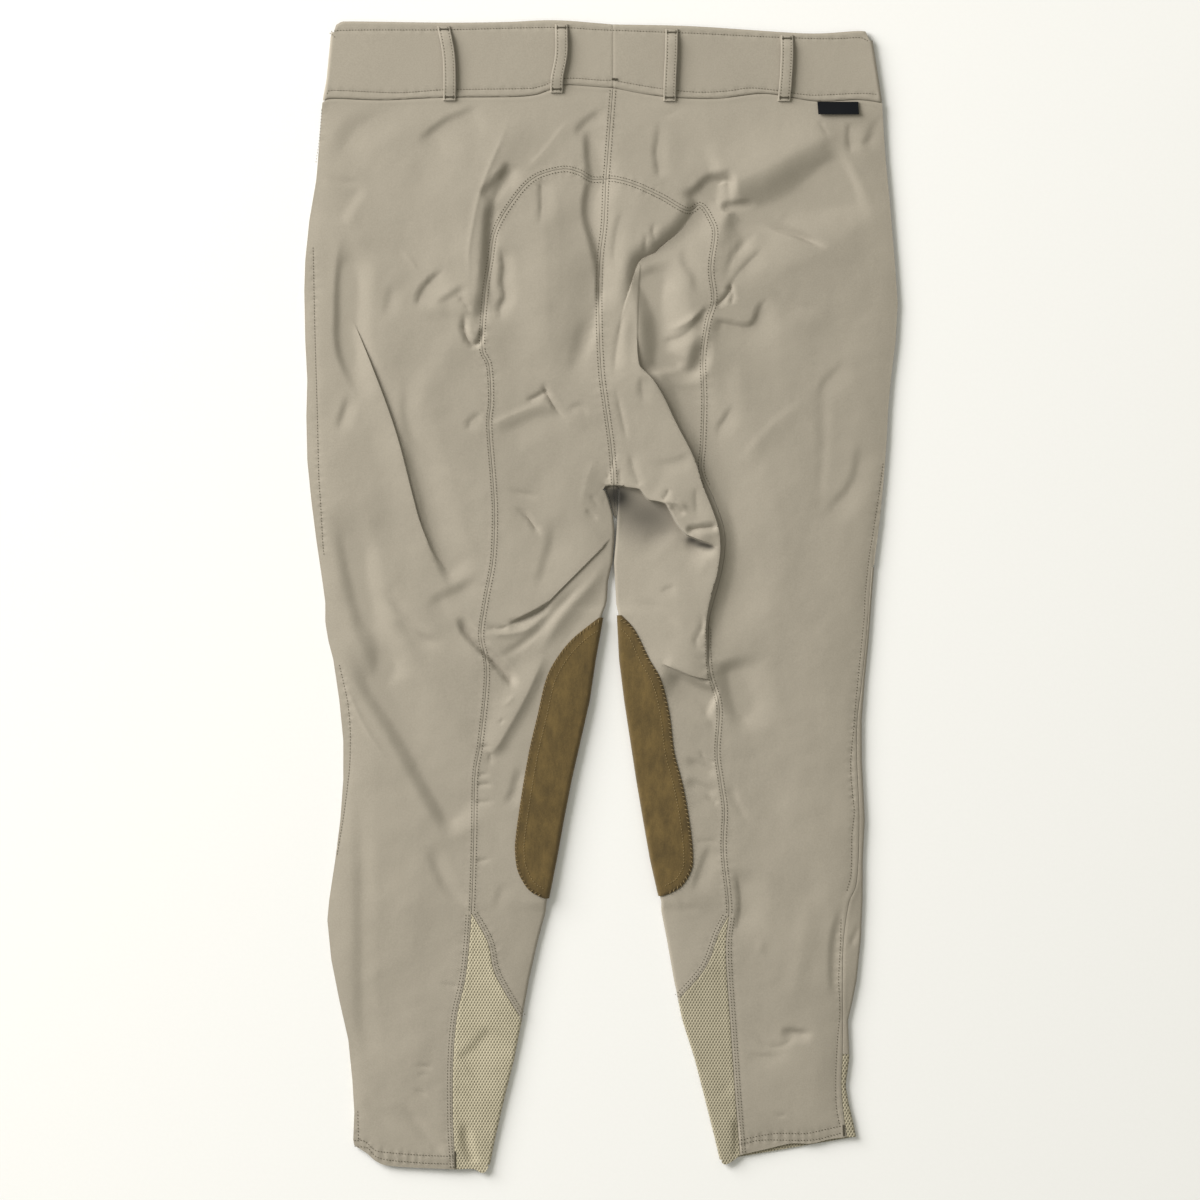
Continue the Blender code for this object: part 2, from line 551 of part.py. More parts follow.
def outer_back(side, material, spots):
    """Seat side, back thigh and calf in one panel."""
    seam, _ = waist_parts()
    gap = SEAM / 2
    centre = smooth(CENTRE_BACK[:2])
    if side == "left":
        outline = [(seam[0], gap), (centre, gap), (smooth(LEFT_ARCH), gap), (smooth(LEFT_SEAM), gap),
                   (smooth(LEFT_CALF_SEAM), gap), (smooth(LEFT_HEM)[::-1], 0.0),
                   (side_run(LEFT_SIDE, -458, 411), gap)]
    else:
        upper = side_run(RIGHT_SIDE, 24, 411)
        upper[0] = RIGHT_SIDE_SEAM[0]
        outline = [(centre[::-1], gap), (seam[1], gap), (upper[::-1], gap),
                   (smooth(RIGHT_SIDE_SEAM), gap), (smooth(RIGHT_PLACKET, PLACKET_STEP), gap),
                   (smooth(RIGHT_HEM)[::-1], 0.0),
                   (smooth(RIGHT_CALF_SEAM)[::-1], gap), (smooth(RIGHT_SEAM)[::-1], gap),
                   (smooth(RIGHT_ARCH)[::-1], gap)]
    skin = Skin()
    skin.sheet(outline, on_back, spots=spots)
    skin.solid("outer_back_" + side, CLOTH, material)


def inner_leg(side, cloth_material, suede, spots):
    """Seat and inner leg panel with its wrap to the front, and the knee patch on it."""
    left = side == "left"
    gap = SEAM / 2
    outward = 1 if left else -1
    table = LEFT_INNER if left else RIGHT_INNER
    patch = LEFT_PATCH if left else RIGHT_PATCH
    mesh_top = smooth(LEFT_MESH_TOP if left else RIGHT_MESH_TOP)
    stops = [88.0, patch[0][1], patch[-1][1], mesh_top[-1][1]]
    y_values = np.concatenate([np.linspace(a, b, max(2, int(round((a - b) / EDGE_CELL)) + 1))[:-1]
                               for a, b in zip(stops, stops[1:])] + [[stops[-1]]])
    line = fold_line(table, outward, y_values)
    mesh_top[-1] = line[-1]
    centre = smooth(CENTRE_BACK[1:])
    crotch = resampled([centre[-1], (3.5, 91.5), line[0]] if left
                       else [centre[-1], (14.4, 91.5), line[0]], 6.0)
    outline = [(smooth(LEFT_ARCH if left else RIGHT_ARCH)[::-1], gap), (centre, gap), (crotch, gap),
               (line, 0.0), (mesh_top[::-1], gap),
               (smooth(LEFT_SEAM if left else RIGHT_SEAM)[::-1], gap)]
    patch_ends = [line[list(y_values).index(stops[1])], line[list(y_values).index(stops[2])]]
    chain = smooth([patch_ends[0]] + patch[1:-1] + [patch_ends[1]])[1:-1]
    skin = Skin()
    loop = skin.sheet(outline, on_back, chain=chain, spots=clear_of(spots, chain, CLEAR))
    first = int(np.hypot(*(loop - line[0]).T).argmin())
    starts = loop[first:first + len(line)]
    rows, marks = [], []
    for start, y in zip(starts, y_values):
        low = float(low_at(start[1]))
        top = float(back_height(np.array([start[0]]), np.array([start[1]]))[0])
        row = arc_row(start, outward, low, top)
        reach = float(x_at(WRAP_WIDTH, y)) - WRAP_SHORT
        share = np.clip((stops[1] - y) / (stops[1] - stops[2]), 0.0, 1.0)
        cover = PATCH_BULGE * np.sqrt(np.clip(1 - (2 * share - 1) ** 4, 0.0, 1.0)) + PATCH_LEAST
        for along in (0.5 * cover, cover, 0.5 * (1 + cover), 1.0):
            settle = low * np.clip((1 - along) / 0.25, 0.0, 1.0)
            away = max(0.6, reach) * along
            drop = front_drop(left, away) if y == stops[-1] else 0.0
            place = (start[0] - outward * away, start[1] - drop, settle)
            row.append((place, (0.0, 0.0, -1.0)))
        rows.append(row)
        marks.append([stops[1] >= y > stops[2]] * 6 + [False] * 2)
    skin.strip(rows, marks)
    skin.solid("inner_leg_" + side, CLOTH, cloth_material)
    skin.solid("knee_patch_" + side, SUEDE, suede, lift=SUEDE + SEAM, marked_only=True)
    return np.array([row[-1][0][:2] for row in rows])


def calf_mesh(side, material, spots):
    """Mesh calf: back inner calf, the inner edge and the lower front."""
    left = side == "left"
    gap = SEAM / 2
    outward = 1 if left else -1
    inner = LEFT_INNER if left else RIGHT_INNER
    mesh_top = smooth(LEFT_MESH_TOP if left else RIGHT_MESH_TOP)
    hem = smooth(LEFT_MESH_HEM if left else RIGHT_MESH_HEM, BAND_STEP)
    hem = hem if left else hem[::-1]
    placket = smooth(RIGHT_PLACKET, PLACKET_STEP)
    y_values = np.linspace(mesh_top[-1][1], hem[-1][1], len(placket))
    line = fold_line(inner, outward, y_values)
    mesh_top[-1] = line[0]
    hem = np.vstack([hem[:-1], line[-1:]])
    seam = smooth(LEFT_CALF_SEAM if left else RIGHT_CALF_SEAM)
    skin = Skin()
    loop = skin.sheet([(seam, gap), (hem, 0.0), (line[::-1], 0.0), (mesh_top[::-1], gap)],
                      on_back, spots=spots)
    last = int(np.hypot(*(loop - line[0]).T).argmin())
    starts = loop[last - len(line) + 1:last + 1][::-1]
    if left:
        outer_y = np.linspace(MESH_SIDE_Y, -457, len(starts))
        outer_x = x_at(LEFT_SIDE, outer_y) + 0.4
    else:
        outer_y = placket[:, 1].copy()
        outer_x = fold_line(RIGHT_SIDE, 1, outer_y, lift=False)[:, 0]
    outer_y[0] = starts[0][1] - front_drop(left, abs(outer_x[0] - starts[0][0]))
    rows = []
    for k, start in enumerate(starts):
        top = float(back_height(np.array([start[0]]), np.array([start[1]]))[0])
        row = arc_row(start, outward, 0.0, top)
        for along in np.linspace(0.0, 1.0, 8)[1:]:
            x = start[0] + (outer_x[k] - start[0]) * along
            y = start[1] + (outer_y[k] - start[1]) * along
            row.append(((x, y, 0.0), (0.0, 0.0, -1.0)))
        if not left:
            end_y = outer_y[k]
            near = np.array([outer_x[k]]), np.array([end_y])
            upturn = arc_row((outer_x[k], end_y), 1, 0.0, float(back_height(*near)[0]))[::-1]
            row.extend(upturn[1:])
            tip_x = placket[k][0] + gap
            tip = np.array([tip_x]), np.array([end_y])
            row.append(((tip_x, end_y, float(back_height(*tip)[0])), back_normal(*tip)[0]))
        rows.append(row)
    skin.strip(rows)
    skin.solid("calf_mesh_" + side, CLOTH, material)
    return np.array([place[:2] for place, _ in rows[0][4:12]])


def front(side, material, band_edge, leg_edge, mesh_edge):
    """Front panel, flat on the surface. The right one turns up round the side."""
    left = side == "left"
    outward = -1 if left else 1
    table = LEFT_SIDE if left else RIGHT_SIDE
    waist = band_edge - (0.0, SEAM)
    top_y = waist[0][1]
    beside = outward * SEAM / 2
    centre = resampled([waist[-1], (FRONT_SEAM_X + beside, CROTCH_Y + 8)], 30.0)
    tongue_y = np.array([68.0, 78.0, 87.5])
    tongue_x = x_at(LEFT_INNER if left else RIGHT_INNER, tongue_y) - outward * 0.5
    tongue = np.vstack([[(CROTCH_TIP[0] + beside, CROTCH_TIP[1])],
                        np.column_stack([tongue_x, tongue_y]), [(tongue_x[-1], 89.2)]])
    inner = leg_edge + (outward * SEAM, 0.0)
    inner[0] += (0.0, 2 * SEAM)
    low = mesh_edge[1:] + (0.0, SEAM)
    keep = (low[:, 0] * outward) > (inner[-1][0] * outward) + 6
    low = low[keep]
    corner = np.array([[inner[-1][0], np.interp(inner[-1][0] * outward, mesh_edge[:, 0] * outward,
                                                mesh_edge[:, 1]) + SEAM]])
    inner = inner[inner[:, 1] > corner[0][1] + 3]
    if left:
        side_line = side_run(LEFT_SIDE, low[-1][1], top_y - 2, 0.4)
        side_line[0] = low[-1]
    else:
        seam = smooth(RIGHT_SIDE_SEAM)[::-1]
        turned = fold_line(RIGHT_SIDE, 1, seam[:, 1], lift=False)
        turned[0] = low[-1]
        side_line = np.vstack([turned, side_run(RIGHT_SIDE, 36, top_y - 2, -0.4)])
    loop_points = np.vstack([waist, centre[1:], tongue, inner, corner, low, side_line[1:]])
    skin = Skin()
    closed = np.vstack([loop_points, loop_points[:1]])
    loop = skin.sheet([(closed, 0.0)], on_floor, cell=FRONT_CELL)
    if not left:
        first = int(np.hypot(*(loop - turned[0]).T).argmin())
        rows = []
        for start, (seam_x, _) in zip(loop[first:first + len(turned)], seam):
            near = np.array([start[0]]), np.array([start[1]])
            row = arc_row(start, 1, 0.0, float(back_height(*near)[0]))[::-1]
            tip_x = seam_x + SEAM / 2
            tip = np.array([tip_x]), np.array([start[1]])
            row.append(((tip_x, start[1], float(back_height(*tip)[0])), back_normal(*tip)[0]))
            rows.append(row)
        skin.strip(rows)
    skin.solid("front_" + side, CLOTH, material)


def belt_loop(loop, material):
    """A folded strip over the waistband, standing off between its two tacked ends."""
    path = smooth(loop.path, 6.0)
    share = np.linspace(0.0, 1.0, len(path))
    rise = np.clip(np.minimum(share, 1 - share) / 0.22, 0.0, 1.0)
    rise = rise * rise * (3 - 2 * rise)
    outer = BAND_TOP + SEAM + LOOP_WALL + LOOP_RISE * rise
    slope = np.gradient(outer) / np.hypot(*np.gradient(path, axis=0).T)
    skin = Skin()
    rows = []
    for (x, y), z, tilt in zip(path, outer, slope):
        normal = np.array([0.0, tilt, 1.0]) / np.hypot(1.0, tilt)
        rows.append([((x + across * LOOP_WIDTH / 2, y, z), normal) for across in (-1.0, 0.0, 1.0)])
    skin.strip(rows)
    skin.solid(loop.name, LOOP_WALL, material)


def label_tab(material):
    """A woven tab that hangs from the waist seam and stands off at its lower end."""
    wide, tall = LABEL_SIZE
    rows = []
    for along in np.linspace(0.0, 1.0, 4):
        y = LABEL_CORNER[1] - along * tall
        row = []
        for across in np.linspace(0.0, 1.0, 6):
            x = LABEL_CORNER[0] + across * wide + 0.8 * along
            low = float(back_height(np.array([x]), np.array([y]))[0]) + LABEL_GAP
            row.append(((x, y, low + LABEL_WALL + LABEL_RISE * along ** 2), (0.0, 0.0, 1.0)))
        rows.append(row)
    skin = Skin()
    skin.strip(rows)
    skin.solid("label_tab", LABEL_WALL, material)


def main():
    """Build every piece in an empty scene."""
    for old in list(bpy.data.objects):
        bpy.data.objects.remove(old)
    twill = cloth("stretch twill", (0.412, 0.366, 0.270, 1.0), 0.85)
    suede = cloth("suede", (0.171, 0.107, 0.048, 1.0), 0.9)
    mesh = cloth("knitted mesh", (0.52, 0.47, 0.33, 1.0), 0.85)
    tape = cloth("woven tape", (0.004, 0.006, 0.010, 1.0), 0.6)
    spots = fold_spots()
    for side in ("left", "right"):
        band_edge = waistband(side, twill)
        outer_back(side, twill, spots)
        leg_edge = inner_leg(side, twill, suede, spots)
        mesh_edge = calf_mesh(side, mesh, spots)
        front(side, twill, band_edge, leg_edge, mesh_edge)
    for loop in BELT_LOOPS:
        belt_loop(loop, twill)
    label_tab(tape)


main()
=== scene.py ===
from collections import namedtuple
import math

import bpy
import numpy as np
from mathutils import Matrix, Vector
from mathutils.geometry import delaunay_2d_cdt
from mathutils.kdtree import KDTree


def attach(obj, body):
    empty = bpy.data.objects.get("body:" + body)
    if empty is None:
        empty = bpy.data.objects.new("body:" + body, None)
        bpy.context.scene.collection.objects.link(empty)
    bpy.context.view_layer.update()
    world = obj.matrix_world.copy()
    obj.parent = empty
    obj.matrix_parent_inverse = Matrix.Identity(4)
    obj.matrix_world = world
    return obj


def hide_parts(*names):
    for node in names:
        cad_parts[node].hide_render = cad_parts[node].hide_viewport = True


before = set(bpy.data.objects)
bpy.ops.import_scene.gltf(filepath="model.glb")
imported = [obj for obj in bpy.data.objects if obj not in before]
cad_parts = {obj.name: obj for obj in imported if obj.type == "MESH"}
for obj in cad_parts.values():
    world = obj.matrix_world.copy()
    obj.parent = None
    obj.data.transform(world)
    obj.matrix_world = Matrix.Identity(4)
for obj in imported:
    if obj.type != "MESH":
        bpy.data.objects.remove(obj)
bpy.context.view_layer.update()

bl_info = {
    "name": "Riding breeches",
    "version": (1, 0, 0),
    "blender": (4, 5, 0),
    "location": "3D View > Sidebar > Breeches",
    "description": "Cloth, knee patches, mesh calves and sewing of a pair of riding breeches laid flat",
    "category": "Object",
}

# All tables are in millimetres: X to the right, Y towards the waist and Z up from the surface
# that the garment lies on, back up. The middle of the outline is at X = 0, Y = 0.
MM = 0.001
FINISHED = "_cloth"    # ends the name of a piece that stands for a solid
SEAM = 0.3             # gap between pieces at a seam
EDGE_TOP = 3.4         # height of the back at the side seams, over the front
FOLD_TOP = 4.6         # height of the back along the inner leg folds
WAIST_TOP = 4.2        # height of the back at the waist seam
BAND_TOP = 4.9         # height of the waistband
PUFF = 3.2             # how far the back stands up away from its edges
EDGE_STEP = 2.5        # spacing of points along a seam
FINE_STEP = 1.0        # spacing of points along a line that distances are measured to
CROTCH_Y = 92.0        # bottom of the centre seams
FRONT_SEAM_X = 10.0    # the centre seam of the front
CROTCH_TIP = (12.1, 65.0)   # lowest point of the front's centre seam
LOOP_WALL = 1.6        # thickness of a belt loop
LOOP_RISE = 2.2        # how far a belt loop's middle stands off the waistband
MESH_SIDE_Y = -384.0   # where the front's mesh seam meets the side

# Relief of the sewing
SEAM_RIDGE = 0.2       # height of the cloth beside a seam, where it lies double
RIDGE_EDGE = 5.0       # where the ridge has run out
RIDGE_FALL = 2.8       # width over which it runs out
SEAM_GROOVE = 0.22
SEAM_GROOVE_WIDTH = 0.7
PUCKER = 0.25          # height of the ripples along a row of stitches
PUCKER_SINK = 0.1      # how far the cloth sinks along the row
PUCKER_WIDTH = 3.6
NEEDLE_GROOVE = 0.12
NEEDLE_WIDTH = 0.8
ROW_WEIGHT = 1.6       # a row's dark line is narrower than a seam's by this share

# Outline, from the waist to the hem: x for each y
LEFT_SIDE = [
    (-225.0, 470), (-226.0, 460), (-229.0, 430), (-232.5, 411), (-233.5, 396), (-237.5, 347),
    (-243.3, 313), (-246.7, 280), (-247.5, 255), (-246.7, 213), (-245.0, 180), (-245.8, 150),
    (-245.0, 113), (-241.7, 80), (-237.5, 47), (-232.5, 13), (-230.0, -5), (-230.0, -22),
    (-227.5, -37), (-223.3, -53), (-218.3, -87), (-215.0, -120), (-215.0, -153), (-217.5, -187),
    (-221.7, -220), (-226.7, -253), (-228.3, -270), (-225.0, -303), (-218.3, -337),
    (-210.8, -370), (-207.5, -403), (-205.8, -430), (-206.7, -453), (-205.8, -458)]
RIGHT_SIDE = [
    (226.5, 463), (227.8, 455), (231.7, 430), (234.6, 411), (235.5, 393), (237.5, 363),
    (240.8, 330), (245.0, 280), (247.5, 244), (245.8, 213), (241.7, 180), (239.5, 155),
    (238.3, 130), (235.8, 97), (232.5, 63), (228.3, 30), (225.8, -3), (223.3, -37),
    (220.0, -70), (217.5, -103), (217.5, -137), (219.2, -170), (220.0, -187), (218.3, -220),
    (218.3, -253), (216.7, -287), (213.3, -320), (210.0, -337), (206.0, -354), (207.3, -384),
    (204.0, -408), (206.5, -423), (210.0, -437), (213.0, -452)]
LEFT_INNER = [
    (2.0, 92), (6.0, 82), (10.0, 68), (11.3, 55), (11.0, 45), (9.6, 28), (5.8, 12), (5.0, -3),
    (1.7, -20), (-4.2, -53), (-9.2, -87), (-16.7, -120), (-24.2, -153), (-30.8, -187),
    (-36.7, -220), (-43.3, -253), (-52.5, -287), (-60.0, -320), (-65.8, -353), (-72.5, -387),
    (-80.8, -420), (-88.3, -453), (-92.5, -474)]
RIGHT_INNER = [
    (14.6, 92), (14.3, 78), (13.2, 60), (12.2, 45), (10.6, 28), (11.7, 12), (12.5, -3),
    (13.3, -20), (15.0, -53), (19.2, -87), (24.2, -120), (29.2, -153), (35.0, -187),
    (40.8, -220), (48.3, -253), (55.0, -287), (60.8, -320), (67.5, -353), (78.3, -387),
    (86.7, -420), (95.0, -453), (99.0, -470)]

# Seams, as points that a smooth curve runs through
WAIST_TOP_EDGE = [(-225, 470), (-222, 475), (-217, 478), (-208, 479), (-130, 478), (-80, 478.5),
                  (-38, 480), (10, 476.5), (76, 475), (152, 470), (182, 469), (215, 471),
                  (223, 469), (226.5, 463)]
WAIST_SEAM = [(-232.5, 411), (-224, 414.5), (-182, 413.3), (-130, 415.5), (-64, 416.5),
              (-42, 422), (-30, 426), (10, 423.5), (50, 416.5), (94, 414.5), (130, 418.5),
              (148, 417.5), (180, 412.3), (215, 413.5), (234.6, 411)]
CENTRE_BACK = [(10, 423.5), (4.2, 347.5), (2.5, 310), (-0.8, 280), (-1.7, 236), (0, 190),
               (3.3, 163), (8.3, 127), (10.8, 98), (11, 92)]
LEFT_ARCH = [(4.2, 347.5), (-8, 347.5), (-19, 353.5), (-33, 355.8), (-55, 349), (-71, 333),
             (-87.5, 306), (-92.5, 279), (-96.7, 250), (-99.2, 208)]
LEFT_SEAM = [(-99.2, 208), (-93.3, 192), (-91.7, 163), (-93.3, 142), (-90, 98), (-88.5, 68),
             (-90, 30), (-96, -3), (-100, -33), (-95.5, -55), (-96, -80), (-101, -125),
             (-105, -151), (-106, -205), (-108, -264)]
LEFT_CALF_SEAM = [(-108, -264), (-112.5, -315), (-120, -350), (-123.3, -390), (-123.3, -440),
                  (-121, -478)]
RIGHT_ARCH = [(4.2, 347.5), (12, 347.5), (28, 343), (50, 333), (72, 321), (83, 326),
              (92, 313), (95, 301), (91.5, 273), (94.2, 247), (89, 228), (85, 199)]
RIGHT_SEAM = [(85, 199), (86, 163), (85, 127), (84, 104), (93.5, 82), (101, 62), (103.5, 47),
              (102, 28), (98, 10), (93, -8), (89.5, -26), (90.5, -62), (98.5, -92), (96.8, -130),
              (99.5, -152), (103, -178), (102, -212), (106, -250), (106.5, -266)]
RIGHT_CALF_SEAM = [(106.5, -266), (104, -297), (108.3, -364), (112.5, -424), (116, -466)]
LEFT_MESH_TOP = [(-108, -264), (-94.5, -288), (-90, -310), (-82, -327), (-66, -353)]
RIGHT_MESH_TOP = [(106.5, -266), (98, -282), (87, -310), (64, -337)]
LEFT_HEM = [(-205.8, -458), (-196, -464), (-186, -472), (-172, -475.5), (-121, -478)]
LEFT_MESH_HEM = [(-121, -478), (-107, -477.5), (-98, -481), (-92.5, -474)]
RIGHT_HEM = [(116, -466), (134, -462), (158, -456.5), (175, -456.5), (190, -453), (205, -451)]
RIGHT_MESH_HEM = [(99, -470), (103, -474), (109, -471.5), (116, -466)]
RIGHT_SIDE_SEAM = [(226.7, 24), (225.4, 12), (219.6, -50), (216.4, -80), (213.6, -103), (213.3, -137),
                   (215.2, -187), (213.2, -237), (206.5, -256), (202, -288), (201.2, -325),
                   (201.5, -354), (201.2, -384)]
RIGHT_PLACKET = [(201.2, -384), (200.4, -408), (202, -430), (205, -451)]
LEFT_PATCH = [(2, -18), (-12, -26), (-25, -37), (-37, -52), (-46, -70), (-53, -100),
              (-60, -130), (-66, -165), (-71, -200), (-71.5, -215), (-69, -230), (-61, -244),
              (-52, -250), (-42.7, -252)]
RIGHT_PATCH = [(13.5, -16), (28, -28), (40, -52), (50, -70), (57, -98), (61, -130),
               (68, -157), (74, -190), (76.5, -215), (75.5, -228), (68, -241), (58, -247.5),
               (47, -250)]

# What differs between the two sides; out is the way from the middle to the side.
Half = namedtuple("Half", "out edge inner patch mesh_top mesh_hem arch seam calf")
HALVES = {
    "left": Half(-1, LEFT_SIDE, LEFT_INNER, LEFT_PATCH, LEFT_MESH_TOP, LEFT_MESH_HEM, LEFT_ARCH,
                 LEFT_SEAM, LEFT_CALF_SEAM),
    "right": Half(1, RIGHT_SIDE, RIGHT_INNER, RIGHT_PATCH, RIGHT_MESH_TOP, RIGHT_MESH_HEM, RIGHT_ARCH,
                  RIGHT_SEAM, RIGHT_CALF_SEAM),
}

